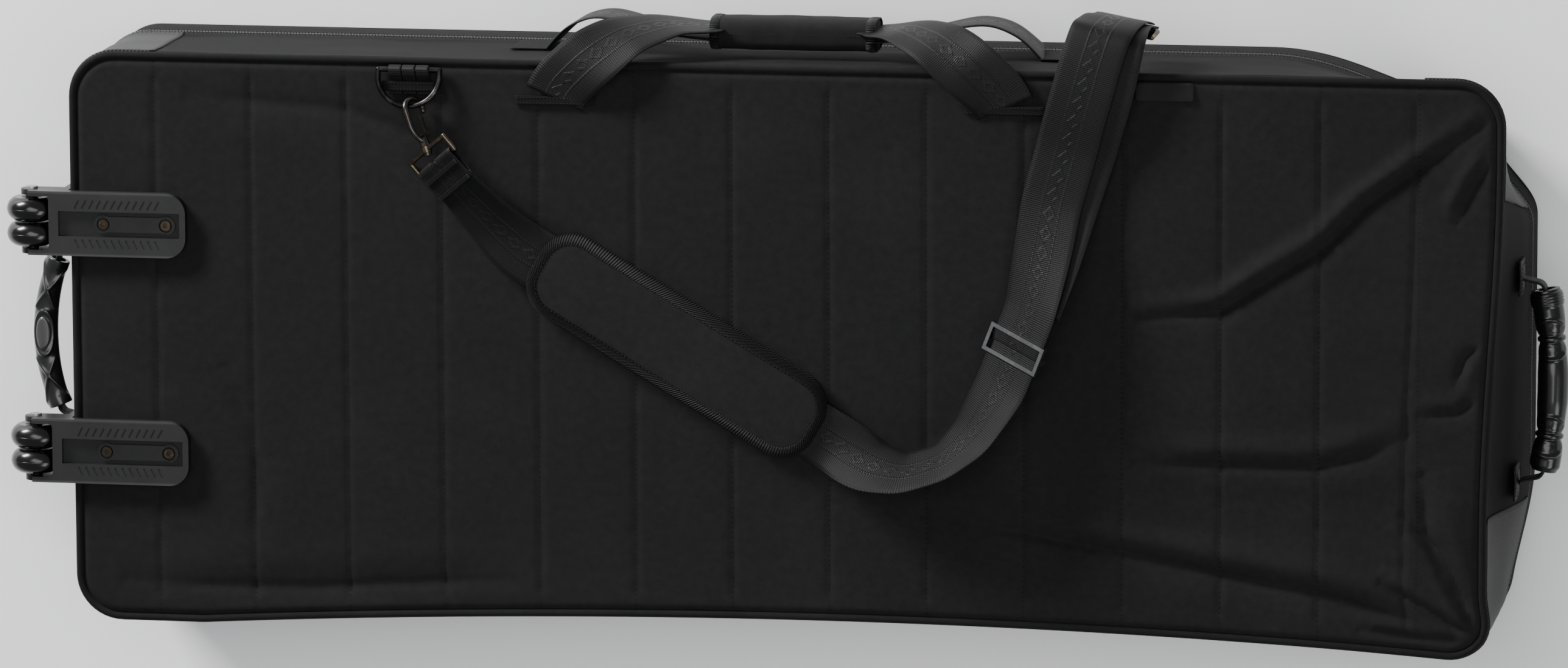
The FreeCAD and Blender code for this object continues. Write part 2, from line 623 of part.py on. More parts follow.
def strap_parts():
    """Webbing from the left hook through the pad and the glide to the right hook, then back to the glide."""
    pad_z = DEPTH + FIT + PAD_T / 2
    tail = 26.0
    leave = EYE1_PLACE.multVec(Vector(EYE_H + tail - 2, 0, 0))
    glide = GLIDE_AT + Z * (DEPTH + GLIDE_LIFT)
    run = heading(GLIDE_TURN)
    glide_half = GLIDE_L / 2 + GLIDE_TRAVEL + 4
    pad_half = PAD_L / 2 + PAD_TRAVEL + 4
    eye_out = EYE_WIRE_R + FIT + WEB_T / 2
    level = Vector(-0.98, 0.12, 0)
    stations = [
        (leave - heading(EYE1_TURN) * 4, EYE1_BANK),
        (leave + heading(EYE1_TURN) * 5 - Z * 0.5, EYE1_BANK - 1),
        (Vector(-238, 107, DEPTH + 12), 22),
        (on_pad_line(-pad_half) + Z * pad_z, 0),
        (on_pad_line(pad_half) + Z * pad_z, 0),
        (Vector(76, -87, DEPTH + 18), -38),
        (Vector(105, -92, DEPTH + 24), -60),
        (Vector(138, -81, DEPTH + 24), -60),
        (Vector(162, -59, DEPTH + 21), -45),
        (glide - run * glide_half, GLIDE_BANK),
        (glide + run * glide_half, GLIDE_BANK),
        (Vector(219, 90, DEPTH + 12), -14),
        (Vector(226, 132, DEPTH + 8), -4),
        (Vector(238, 175, DEPTH + 9), 0),
        (Vector(246, 205, DEPTH + 13.5), 0),
        (Vector(253, HALF_W - 9, DEPTH + 16), 0),
        (Vector(259, HALF_W + 13, DEPTH + 16.5), level),
        (over_hook(-50, 19), level),
        (over_hook(-36, 19.5), level),
        (over_hook(-20, 18.5), level),
        (over_hook(-6, 15), level),
        (over_hook(5, 10), level),
        (over_hook(EYE_H, eye_out + LAYER), level),
    ]
    points = [p for p, turn in stations]
    turns = [turn for p, turn in stations]
    frames = web_frames(points, turns, first=heading(EYE1_TURN), last=-HOOK2_ALONG.normalize())
    main = ribbon(points, frames)
    save("shoulder_strap", main.fuse(web_loop(EYE1_PLACE, tail)).removeSplitter())

    turned = points.index(glide + run * glide_half)
    aside = [2, 8, 13, 15, 16, 16, 15, 12, 9, 6, 3, 1, 0]
    below = []
    for p, (across, normal), shift in zip(points[turned:], frames[turned:], aside):
        below.append(p - across * shift - normal * LAYER)
    lower = ribbon(below, frames[turned:])
    save("strap_return", lower.fuse(web_loop(EYE2_PLACE, 2)).removeSplitter())


def strap_glide():
    """Three-bar glide: the end bars lie over the webbing, the middle bar under it."""
    half_w = GLIDE_W / 2
    half_l = GLIDE_L / 2
    over = WEB_T / 2 + FIT
    bars = []
    for s in (-1, 1):
        x = s * (half_l - GLIDE_BAR / 2)
        bars.append(Part.makeBox(GLIDE_BAR, GLIDE_W, 2.6, Vector(x - GLIDE_BAR / 2, -half_w, over)))
        y = s * (half_w - GLIDE_BAR / 2) - GLIDE_BAR / 2
        bars.append(Part.makeBox(GLIDE_L, GLIDE_BAR, 2.6, Vector(-half_l, y, over)))
        bars.append(Part.makeBox(5, GLIDE_BAR, over + 2.6 + over + 2.6, Vector(-2.5, y, -over - 2.6)))
    bars.append(Part.makeBox(4, GLIDE_W, 2.6, Vector(-2, -half_w, -over - 2.6)))
    glide = bars[0].fuse(bars[1:]).removeSplitter()
    run = heading(GLIDE_TURN)
    glide.Placement = frame_at(GLIDE_AT + Z * (DEPTH + GLIDE_LIFT), run, banked_across(run, GLIDE_BANK))
    return glide


def shoulder_pad():
    """Flat cushion with round ends and a sleeve through it for the webbing."""
    pad = rounded_box(PAD_L, PAD_W, PAD_T, PAD_END_R)
    rims = [e for e in pad.Edges if e.BoundBox.ZLength < 0.01]
    pad = pad.makeFillet(3.5, rims)
    corner = Vector(-PAD_L / 2 - 1, -WEB_W / 2 - 1, -WEB_T / 2 - 0.6)
    pad = pad.cut(Part.makeBox(PAD_L + 2, WEB_W + 2, WEB_T + 1.2, corner))
    pad.Placement = Placement(PAD_AT + Z * (DEPTH + FIT + PAD_T / 2), Rotation(Z, PAD_TURN))
    return pad


def rings_and_hooks():
    for name, x, fold, eye, hook in (
        ("left", RING_LEFT_X, RING1_FOLD, EYE1_PLACE, HOOK1_PLACE),
        ("right", RING_RIGHT_X, RING2_FOLD, EYE2_PLACE, HOOK2_PLACE),
    ):
        save("d_ring_" + name, d_ring(x, fold))
        save("strap_eye_" + name, strap_eye(eye, hook))
        save("snap_hook_" + name, snap_hook(hook))
        save("hook_gate_" + name, snap_gate(hook))
    save("ring_tabs", ring_tab(RING_LEFT_X), ring_tab(RING_RIGHT_X))


# ---- Carry handle --------------------------------------------------------------------------------------
def carry_handle():
    """Two webbing bands from seams either side of the wall, held together by a padded wrap."""
    y = HALF_W
    out = WRAP_AT.y
    back = []
    front = []
    welts = []
    for s in (-1, 1):
        end = WRAP_AT.x + s * (WRAP_L / 2 + 2 * FIT)
        base = s * HANDLE_BASE_X
        inward = Vector(-s, 0, 0)
        low = y - WELT_IN
        back_points = [
            Vector(base, low + FIT, DEPTH + 0.2 + BAND_T / 2),
            Vector(base - s * 29, y + 6, DEPTH + 8.5),
            Vector(base - s * 58, out + 4, DEPTH - 4),
            Vector(base - s * 86, out + 9, DEPTH - 34),
            Vector(end, out + 4, WRAP_AT.z),
        ]
        frames = web_frames(back_points, [0, s * 9, s * 48, s * 78, s * 90], first=Y, last=inward)
        back.append(ribbon(back_points, frames, thick=BAND_T))
        front_points = [
            Vector(base + s * 18, y + WALL_OUT + 0.7 + BAND_T / 2, ZIP_Z + 34),
            Vector(base - s * 1, y + 25, ZIP_Z + 40),
            Vector(base - s * 26, y + 34, ZIP_Z + 46),
            Vector(base - s * 57, y + 29, ZIP_Z + 53),
            Vector(base - s * 86, y + 21, ZIP_Z + 59),
            Vector(end, out - 4, WRAP_AT.z),
        ]
        frames = web_frames(front_points, [s * 90] * 6, first=inward, last=inward)
        front.append(ribbon(front_points, frames, thick=BAND_T))
        welts.append(box(base - WELT_W / 2, base + WELT_W / 2, low - WELT_H, low, DEPTH, DEPTH + 2.2))
        foot = base + s * 34
        welts.append(box(foot - 16, foot + 16, y + WALL_OUT, y + WALL_OUT + 0.5, ZIP_Z + 8, ZIP_Z + 60))
    save("handle_band_back", *back)
    save("handle_band_front", *front)
    save("handle_bases", *welts)

    sleeve = rounded_wrap(WRAP_Y, WRAP_Z, 13)
    inside = rounded_wrap(WRAP_Y - 2 * WRAP_WALL, WRAP_Z - 2 * WRAP_WALL, 6)
    save("handle_wrap", sleeve.cut(inside))
    gap = 2 * FIT
    save("handle_core", rounded_wrap(WRAP_Y - 2 * WRAP_WALL - gap, WRAP_Z - 2 * WRAP_WALL - gap, 5.5))


def rounded_wrap(wide, high, r):
    """A rounded bar along X, wide along Y and high along Z."""
    block = rounded_box(wide, high, WRAP_L, r)
    block.Placement = frame_at(WRAP_AT, Y, Z)
    return block


# ---- End grips -----------------------------------------------------------------------------------------
def end_grip(name, side, y, z, length, radius):
    """A moulded tube on a webbing core, bowed out from the wall between two sewn anchors."""
    wall_x = side * (HALF_L + WALL_OUT)
    pivot_x = wall_x + side * (ANCHOR_T + FOOT_R + FIT)
    peak_x = side * (HALF_L + GRIP_OUT)
    bow = 7.0
    half = length / 2
    ends = [Vector(peak_x - side * bow, y - half, z), Vector(peak_x - side * bow, y + half, z)]
    curve = Part.Wire([Part.Arc(ends[0], Vector(peak_x, y, z), ends[1]).toShape()])
    body = tube(radius, curve)
    hollow = tube(radius - 4.5, curve)
    body = body.cut(hollow)
    save("grip_" + name, body)

    core = tube(radius - 5.0, curve)
    stubs = []
    anchors = []
    for s in (-1, 1):
        near = Vector(peak_x - side * bow, y + s * (half + 2.0), z)
        knee = Vector(peak_x - side * (bow + 3), y + s * (half + 5.5), z)
        foot = Vector(pivot_x, y + s * (half + 10), z)
        span = knee - near
        strip = Part.makeBox(span.Length, 3.0, GRIP_WEB, Vector(0, -1.5, -GRIP_WEB / 2))
        strip.Placement = frame_at(near, span, Z.cross(span))
        span = foot - knee
        wide = GRIP_WEB / 2
        taper = [Vector(0, -1.5, -wide), Vector(span.Length, -1.5, -1), Vector(span.Length, -1.5, 1),
                 Vector(0, -1.5, wide)]
        arm = Part.Face(Part.makePolygon(taper + taper[:1])).extrude(Y * 3.0)
        arm.Placement = frame_at(knee, span, Z.cross(span))
        rounds = [Part.makeCylinder(1.5, GRIP_WEB, p - Z * wide, Z) for p in (near, knee)]
        narrow = Part.makeCylinder(radius - 5.2, 6, near - Y * (s * 6), Y * s)
        heel = rod(FOOT_R, foot - Y * 6, foot + Y * 6)
        stubs.extend([strip, arm, narrow, heel] + rounds)
        x0, x1 = sorted((wall_x, wall_x + side * ANCHOR_T))
        anchors.append(box(x0, x1, foot.y - 14, foot.y + 14, z - 17, z + 17))
    save("grip_web_" + name, core.fuse(stubs).removeSplitter())
    return anchors


def end_grips():
    anchors = end_grip("left", -1, **GRIP_LEFT) + end_grip("right", 1, **GRIP_RIGHT)
    save("grip_anchors", *anchors)


# ---- Small sewn pieces ---------------------------------------------------------------------------------
def small_pieces():
    x = 317.5
    save("label_flag", box(x - 24.5, x + 24.5, HALF_W - 19, HALF_W - 4, DEPTH, DEPTH + 0.8))
    straps = []
    for at in (-300, 300):
        straps.append(box(at - 19, at + 19, -150, 150, LINING_UNDER - 1.6, LINING_UNDER))
    save("hold_down_straps", *straps)


front_cover()
zip_fastener()
hinge_flap()
shell_panels()
patches()
brackets_and_wheels()
rings_and_hooks()
strap_parts()
save("strap_glide", strap_glide())
save("shoulder_pad", shoulder_pad())
carry_handle()
end_grips()
small_pieces()
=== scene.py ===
"""Looks for the wheeled gear bag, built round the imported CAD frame. Metres, in the frame of the record.

The soft pieces share one outline (the piping's centre line) and one slump, so the quilted panel, the
walls, the piping, the patches and the zip all meet however the bag sags.
"""

import math

import bmesh
import bpy
import numpy as np
from mathutils import Matrix, Vector, noise


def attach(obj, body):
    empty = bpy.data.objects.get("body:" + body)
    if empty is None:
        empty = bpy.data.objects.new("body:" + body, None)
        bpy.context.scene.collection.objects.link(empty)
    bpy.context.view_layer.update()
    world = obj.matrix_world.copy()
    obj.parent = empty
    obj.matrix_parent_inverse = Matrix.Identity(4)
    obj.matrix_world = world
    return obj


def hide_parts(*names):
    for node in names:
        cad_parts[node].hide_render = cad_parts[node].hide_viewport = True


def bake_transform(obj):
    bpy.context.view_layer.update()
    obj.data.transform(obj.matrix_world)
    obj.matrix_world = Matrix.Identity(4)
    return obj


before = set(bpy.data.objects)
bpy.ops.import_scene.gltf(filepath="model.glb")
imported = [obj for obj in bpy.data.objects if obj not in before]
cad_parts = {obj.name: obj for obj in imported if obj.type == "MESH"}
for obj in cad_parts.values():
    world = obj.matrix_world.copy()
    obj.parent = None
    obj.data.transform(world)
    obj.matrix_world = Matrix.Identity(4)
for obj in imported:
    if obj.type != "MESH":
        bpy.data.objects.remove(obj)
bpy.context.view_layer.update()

MM = 0.001
HALF_L, HALF_W, CORNER = 0.595, 0.237, 0.036
ZIP = 0.048
QUILT_PITCH, QUILT_LINES, QUILT_STITCH = 0.08085, 14, 0.0042
BRACKET_Y = 0.096
WEB_WIDTH = 0.050
PAD_RIB = 0.0021
UP = (0, 0, 1)


# ---- Node helpers --------------------------------------------------------------------------------------
class Nodes:
    """Short hand for adding and linking the nodes of one tree."""

    def __init__(self, tree):
        self.tree = tree

    def add(self, kind, values=None, **settings):
        node = self.tree.nodes.new(kind)
        for key, value in settings.items():
            setattr(node, key, value)
        for key, value in (values or {}).items():
            self.put(node.inputs[key], value)
        return node

    def put(self, socket, value):
        if isinstance(value, bpy.types.NodeSocket):
            self.tree.links.new(value, socket)
        elif isinstance(value, bpy.types.Node):
            self.tree.links.new(value.outputs[0], socket)
        else:
            socket.default_value = value

    def math(self, operation, *values, clamp=False):
        node = self.add("ShaderNodeMath", operation=operation, use_clamp=clamp)
        for i, value in enumerate(values):
            self.put(node.inputs[i], value)
        return node.outputs[0]

    def step(self, value, low, high):
        """0 below low, 1 above high, smooth between."""
        node = self.add("ShaderNodeMapRange", interpolation_type="SMOOTHSTEP")
        for key, v in (("Value", value), ("From Min", low), ("From Max", high)):
            self.put(node.inputs[key], v)
        return node.outputs["Result"]

    def mix(self, factor, a, b):
        node = self.add("ShaderNodeMix", data_type="RGBA")
        self.put(node.inputs[0], factor)
        self.put(node.inputs[6], a)
        self.put(node.inputs[7], b)
        return node.outputs[2]

    def noise(self, vector, scale, detail=3.0, rough=0.55):
        return self.add("ShaderNodeTexNoise", {"Vector": vector, "Scale": scale, "Detail": detail,
                                               "Roughness": rough}).outputs["Fac"]

    def bump(self, height, strength, distance):
        return self.add("ShaderNodeBump", {"Height": height, "Strength": strength, "Distance": distance})

    def times(self, a, b, clamp=False):
        return self.math("MULTIPLY", a, b, clamp=clamp)

    def plus(self, a, b, clamp=False):
        return self.math("ADD", a, b, clamp=clamp)

    def minus(self, a, b):
        return self.math("SUBTRACT", a, b)

    def size(self, a):
        return self.math("ABSOLUTE", a)

    def coordinate(self, which):
        """The texture coordinate of that name, and its x, y and z."""
        at = self.add("ShaderNodeTexCoord").outputs[which]
        return at, self.add("ShaderNodeSeparateXYZ", {0: at}).outputs


def grey(level, warm=0.0):
    return (level * (1 + warm), level, level * (1 - warm), 1.0)


COLOR, NORMAL, ROUGHNESS = ("Color", "c"), ("Normal", "v"), ("Roughness", "f")


def group(name, inputs, outputs):
    """An empty node group with those sockets: the tree's helper, its inputs and its outputs."""
    kinds = {"f": "NodeSocketFloat", "c": "NodeSocketColor", "v": "NodeSocketVector"}
    tree = bpy.data.node_groups.new(name, "ShaderNodeTree")
    for label, kind, value in inputs:
        socket = tree.interface.new_socket(label, in_out="INPUT", socket_type=kinds[kind])
        socket.default_value = value
    for label, kind in outputs:
        tree.interface.new_socket(label, in_out="OUTPUT", socket_type=kinds[kind])
    n = Nodes(tree)
    return n, n.add("NodeGroupInput").outputs, n.add("NodeGroupOutput").inputs


def wear_group():
    """Dust and handling: a slow lightening and a change of gloss over the whole piece."""
    n, given, out = group("Wear", [("Color", "c", grey(0.02)), ("Roughness", "f", 0.8), ("Dust", "f", 0.3)],
                          [COLOR, ROUGHNESS])
    at, _ = n.coordinate("Object")
    slow = n.step(n.noise(at, 9.0, 5.0, 0.6), 0.42, 0.72)
    fine = n.step(n.noise(at, 160.0, 2.0), 0.60, 0.80)
    share = n.times(n.plus(slow, n.times(fine, 0.6)), given["Dust"], clamp=True)
    n.put(out["Color"], n.mix(n.times(share, 0.05), given["Color"], grey(0.12, 0.04)))
    n.put(out["Roughness"], n.plus(given["Roughness"], n.times(share, 0.12), clamp=True))
    return n.tree


def weave_group():
    """Plain weave on UVs in metres: threads over and under, with a little yarn noise."""
    n, given, out = group("Weave", [("Dark", "c", grey(0.012)), ("Light", "c", grey(0.03)),
                                    ("Pitch", "f", 0.0011), ("Depth", "f", 0.0002), ("Fuzz", "f", 0.5)],
                          [COLOR, NORMAL])
    uv, at = n.coordinate("UV")
    turn = n.math("DIVIDE", 2 * math.pi, given["Pitch"])
    over = n.times(n.math("SINE", n.times(at[0], turn)), n.math("SINE", n.times(at[1], turn)))
    yarn = n.noise(uv, 900.0, 2.0)
    slub = n.noise(uv, 140.0, 3.0)
    height = n.plus(n.times(over, 0.5), n.times(yarn, given["Fuzz"]))
    tone = n.plus(n.times(height, 0.5), n.times(slub, 0.6), clamp=True)
    n.put(out["Color"], n.mix(tone, given["Dark"], given["Light"]))
    n.put(out["Normal"], n.bump(height, 0.7, given["Depth"]))
    return n.tree


def webbing_group():
    """Ribbed webbing on UVs in metres (across, along): selvedges, two rib lines and a band of lozenges."""
    n, given, out = group("Webbing", [("Color", "c", grey(0.02)), ("Width", "f", 0.05), ("Motif", "f", 1.0)],
                          [COLOR, NORMAL, ROUGHNESS])
    uv, at = n.coordinate("UV")
    half = n.times(given["Width"], 0.5)
    off = n.size(n.minus(at[0], half))
    cross = n.math("SINE", n.times(at[1], 2 * math.pi / 0.0016))
    warp = n.math("SINE", n.times(n.plus(at[0], n.times(at[1], 0.5)), 2 * math.pi / 0.0012))
    ground = n.plus(n.times(cross, 0.25), n.times(warp, 0.25))
    line = n.minus(1.0, n.step(n.size(n.minus(off, 0.0078)), 0.0004, 0.0011))
    band = n.minus(1.0, n.step(off, 0.0062, 0.0068))
    place = n.size(n.minus(n.math("FRACT", n.math("DIVIDE", at[1], 0.016)), 0.5))
    lozenge = n.plus(n.math("DIVIDE", off, 0.0058), n.math("DIVIDE", place, 0.50))
    outer = n.minus(1.0, n.step(lozenge, 0.90, 1.0))
    inner = n.step(lozenge, 0.40, 0.50)
    figure = n.times(band, n.times(outer, inner))
    raised = n.times(n.math("MAXIMUM", n.times(figure, 0.9), line), given["Motif"])
    edge = n.step(off, n.minus(half, 0.0016), half)
    height = n.plus(n.plus(ground, n.times(raised, 1.4)), n.times(edge, 0.8))
    lit = n.mix(n.times(raised, 0.5), given["Color"], grey(0.006))
    speck = n.noise(uv, 700.0, 2.0)
    n.put(out["Color"], n.mix(n.times(speck, 0.5), lit, grey(0.0012)))
    n.put(out["Roughness"], n.minus(0.54, n.times(raised, 0.12)))
    n.put(out["Normal"], n.bump(height, 0.75, 0.00035))
    return n.tree


def rib_group():
    """Grosgrain binding: close ribs square to the run, with shade painted into the valleys between them, on
    UVs in metres (along first).
    """
    n, given, out = group("Binding", [("Color", "c", grey(0.02)), ("Pitch", "f", 0.0021)],
                          [COLOR, NORMAL])
    uv, at = n.coordinate("UV")
    rib = n.math("SINE", n.math("DIVIDE", n.times(at[0], 2 * math.pi), given["Pitch"]))
    thread = n.noise(uv, 1200.0, 1.0)
    height = n.plus(rib, n.times(thread, 0.5))
    # Painted shade: the colour darkens in the valleys between the ribs, and the thread noise adds a random
    # tone.
    n.put(out["Color"], n.mix(n.step(height, -0.6, 1.3), grey(0.0010), given["Color"]))
    n.put(out["Normal"], n.bump(height, 1.0, 0.0007))
    return n.tree


def mesh_group():
    """Coarse ballistic basket weave: round knots painted light as a highlight, on a ground painted dark as
    shade, on UVs in metres.
    """
    n, given, out = group("BallisticMesh", [("Knot", "c", grey(0.060)), ("Ground", "c", grey(0.0020)),
                                            ("Pitch", "f", 0.0032)], [COLOR, NORMAL])
    _, at = n.coordinate("UV")
    turn = n.math("DIVIDE", math.pi, given["Pitch"])
    a = n.math("SINE", n.times(n.plus(at[0], at[1]), turn))
    b = n.math("SINE", n.times(n.minus(at[0], at[1]), turn))
    knot = n.step(n.times(n.times(a, a), n.times(b, b)), 0.15, 0.75)
    # Painted highlight on the knots and painted shade in the ground between them.
    n.put(out["Color"], n.mix(knot, given["Ground"], given["Knot"]))
    n.put(out["Normal"], n.bump(knot, 0.9, 0.0006))
    return n.tree


def grain_group():
    """Moulded plastic: fine spark grain with a few handling marks."""
    given_sockets = [("Scale", "f", 900.0), ("Depth", "f", 0.0001), ("Roughness", "f", 0.45)]
    n, given, out = group("MouldGrain", given_sockets, [NORMAL, ROUGHNESS])
    at, _ = n.coordinate("Object")
    grain = n.noise(at, given["Scale"], 2.0)
    smear = n.noise(at, 45.0, 4.0, 0.65)
    n.put(out["Normal"], n.bump(grain, 0.5, given["Depth"]))
    n.put(out["Roughness"], n.plus(given["Roughness"], n.times(
        n.minus(smear, 0.5), 0.25), clamp=True))
    return n.tree


def metal_group():
    """Plated metal: rubbed tint and gloss, with hairline scratches."""
    given_sockets = [("Color", "c", grey(0.4)), ("Rubbed", "c", grey(0.5)), ("Roughness", "f", 0.25),
                     ("Amount", "f", 0.5)]
    n, given, out = group("Plating", given_sockets, [COLOR, ROUGHNESS, NORMAL])
    at, _ = n.coordinate("Object")
    rub = n.times(n.step(n.noise(at, 120.0, 4.0, 0.6), 0.45, 0.65), given["Amount"])
    stretched = n.add("ShaderNodeMapping", {"Vector": at, "Scale": (90.0, 1400.0, 700.0)})
    hair = n.noise(stretched.outputs[0], 1.0, 2.0)
    n.put(out["Color"], n.mix(rub, given["Color"], given["Rubbed"]))
    n.put(out["Roughness"], n.plus(given["Roughness"], n.times(hair, 0.18), clamp=True))
    n.put(out["Normal"], n.bump(hair, 0.15, 0.00005))
    return n.tree


GROUPS = {"wear": wear_group(), "weave": weave_group(), "webbing": webbing_group(), "rib": rib_group(),
          "mesh": mesh_group(), "grain": grain_group(), "metal": metal_group()}


def new_material(name):
    material = bpy.data.materials.new(name)
    material.use_nodes = True
    n = Nodes(material.node_tree)
    shader = next(x for x in material.node_tree.nodes if x.type == "BSDF_PRINCIPLED")
    return material, n, shader


def use(n, which, **values):
    """An effect's outputs, with its inputs set or linked."""
    return n.add("ShaderNodeGroup", values, node_tree=GROUPS[which]).outputs


def dress(n, shader, color, roughness, normal, **settings):
    """Links the three maps to the shader and sets its plain values."""
    n.put(shader.inputs["Base Color"], color)
    n.put(shader.inputs["Roughness"], roughness)
    n.put(shader.inputs["Normal"], normal)
    for label, value in settings.items():
        shader.inputs[label.replace("_", " ")].default_value = value


def fabric(name, dark, light, pitch=0.0011, depth=0.0002, rough=0.82, dust=0.4, sheen=0.015,
           stitch_hole_shade=False):
    material, n, shader = new_material(name)
    woven = use(n, "weave", Dark=dark, Light=light, Pitch=pitch, Depth=depth)
    color = woven["Color"]
    if stitch_hole_shade:
        # Painted shade: dark dots where the needle holes of the quilting sit in shade.
        color = n.mix(needle_hole_shade(n), color, grey(0.0012))
    worn = use(n, "wear", Color=color, Roughness=rough, Dust=dust)
    dress(n, shader, worn["Color"], worn["Roughness"], woven["Normal"], Sheen_Weight=sheen,
          Sheen_Roughness=0.45, Specular_IOR_Level=0.10)
    return material


def needle_hole_shade(n):
    """Painted shade in the needle holes along the quilting lines, as dark dots from the object's own x and y.
    """
    _, at = n.coordinate("Object")
    along = n.plus(n.math("DIVIDE", at[0], QUILT_PITCH), QUILT_LINES / 2)
    near = n.times(n.size(n.minus(n.math("FRACT", along), 0.5)), QUILT_PITCH)
    row = n.minus(1.0, n.step(near, 0.0005, 0.0014))
    shaded_hole = n.step(n.math("SINE", n.times(at[1], 2 * math.pi / QUILT_STITCH)), 0.1, 0.6)
    return n.times(n.times(row, shaded_hole), 0.5)


def webbing(name, color, motif=1.0):
    material, n, shader = new_material(name)
    web = use(n, "webbing", Color=color, Width=WEB_WIDTH, Motif=motif)
    worn = use(n, "wear", Color=web["Color"], Roughness=web["Roughness"], Dust=0.25)
    dress(n, shader, worn["Color"], worn["Roughness"], web["Normal"], Sheen_Weight=0.015,
          Specular_IOR_Level=0.19)
    return material


def patterned(name, which, rough, **values):
    material, n, shader = new_material(name)
    made = use(n, which, **values)
    worn = use(n, "wear", Color=made["Color"], Roughness=rough, Dust=0.3)
    dress(n, shader, worn["Color"], worn["Roughness"], made["Normal"], Specular_IOR_Level=0.30)
    return material


def moulded(name, color, rough, coat=0.0, depth=0.0001, shine=0.5):
    material, n, shader = new_material(name)
    worn = use(n, "wear", Color=color, Roughness=rough, Dust=0.3)
    grain = use(n, "grain", Scale=900.0, Depth=depth, Roughness=worn["Roughness"])
    dress(n, shader, worn["Color"], grain["Roughness"], grain["Normal"], Specular_IOR_Level=shine,
          Coat_Weight=coat, Coat_Roughness=0.08)
    return material


def paint_bracket_shade_and_highlight(material):
    """Paints shade into the channel and the slots of the brackets, and paints a highlight along the rims of
    their plates.
    """
    n = Nodes(material.node_tree)
    shader = next(x for x in material.node_tree.nodes if x.type == "BSDF_PRINCIPLED")
    color = shader.inputs["Base Color"].links[0].from_socket
    _, at = n.coordinate("Object")
    off = n.size(n.minus(n.size(at[1]), BRACKET_Y))
    within = n.minus(1.0, n.step(off, 0.0235, 0.0245))
    deep = n.minus(1.0, n.step(at[2], 0.1794, 0.1803))
    rim_highlight = n.times(n.step(off, 0.0244, 0.0262), n.step(at[2], 0.1770, 0.1792))
    # Painted shade: the channel and its slots are darkened below the plate's top.
    color = n.mix(n.times(n.times(within, deep), 0.75), color, grey(0.0025))
    # Painted highlight: a lighter band along the rims of the plates.
    n.put(shader.inputs["Base Color"], n.mix(n.times(rim_highlight, 0.6), color, grey(0.045)))


def plated(name, color, rubbed, rough=0.22, amount=0.5):
    material, n, shader = new_material(name)
    made = use(n, "metal", Color=color, Rubbed=rubbed, Roughness=rough, Amount=amount)
    dress(n, shader, made["Color"], made["Roughness"], made["Normal"], Metallic=1.0)
    return material


PANEL = fabric("PanelPolyester", grey(0.0040), grey(0.0155), stitch_hole_shade=True)
WALL = fabric("WallPolyester", grey(0.0026), grey(0.0095))
PIPING = fabric("PipingFabric", grey(0.0030), grey(0.0120), pitch=0.0014, depth=0.0003)
TAPE = fabric("TapeFabric", grey(0.0022), grey(0.0080), pitch=0.0009)
LINING = fabric("LiningNylon", grey(0.020), grey(0.050), pitch=0.0006, depth=0.0001, rough=0.62, sheen=0.2)
PAD_FABRIC = fabric("PadFabric", grey(0.0050), grey(0.0180), pitch=0.0010, depth=0.0003, dust=0.6)
LABEL = fabric("LabelSatin", grey(0.006), grey(0.014), pitch=0.0005, depth=0.0001, rough=0.5)
THREAD = fabric("Thread", grey(0.004), grey(0.016), pitch=0.0006, sheen=0.1)
WEB = webbing("StrapWebbing", grey(0.0016))
WEB_PLAIN = webbing("PlainWebbing", grey(0.0028), motif=0.0)
BINDING = patterned("BindingTape", "rib", 0.6, Color=grey(0.0095), Pitch=PAD_RIB)
MESH = patterned("BallisticPatch", "mesh", 0.55, Knot=grey(0.060), Ground=grey(0.0020), Pitch=0.0032)
BRACKET = moulded("BracketNylon", grey(0.0120), 0.42, coat=0.05, shine=0.35)
TREAD = moulded("WheelTread", grey(0.0022), 0.22, coat=0.25, depth=0.00003, shine=0.35)
HUB = moulded("HubNylon", grey(0.010), 0.42)
GRIP_GLOSS = moulded("GripGloss", grey(0.0030), 0.26, coat=0.2, depth=0.00003, shine=0.4)
GRIP_SATIN = moulded("GripSatin", grey(0.0065), 0.32, coat=0.3, depth=0.00006)
BADGE = moulded("GripBadge", grey(0.035), 0.38, coat=0.2)
COIL = moulded("ZipCoil", grey(0.006), 0.35, depth=0.00004)
STIFFENER = moulded("Stiffener", grey(0.012), 0.5)
CHROME = plated("PolishedNickel", grey(0.34), grey(0.50), 0.12)
GUNMETAL = plated("DarkNickel", (0.062, 0.057, 0.052, 1), (0.24, 0.16, 0.10, 1), 0.18, 0.6)
GOLD = plated("WarmNickel", (0.100, 0.082, 0.062, 1), (0.30, 0.20, 0.12, 1), 0.20, 0.7)
RING = plated("RingNickel", grey(0.020), grey(0.080), 0.20)
BRONZE = plated("BronzeZinc", (0.055, 0.044, 0.034, 1), (0.17, 0.12, 0.075, 1), 0.30)
STEEL = plated("ZincSteel", grey(0.40), grey(0.55), 0.35)
paint_bracket_shade_and_highlight(BRACKET)


# ---- Shape helpers -------------------------------------------------------------------------------------
def smooth(t):
    t = np.clip(t, 0, 1)
    return t * t * (3 - 2 * t)


def ripple(points, scale, seed=0.0):
    """Smooth noise at each point, about -1 to 1."""
    return np.array([noise.noise(Vector((p[0] * scale + seed, p[1] * scale - seed, p[2] * scale)))
                     for p in points])


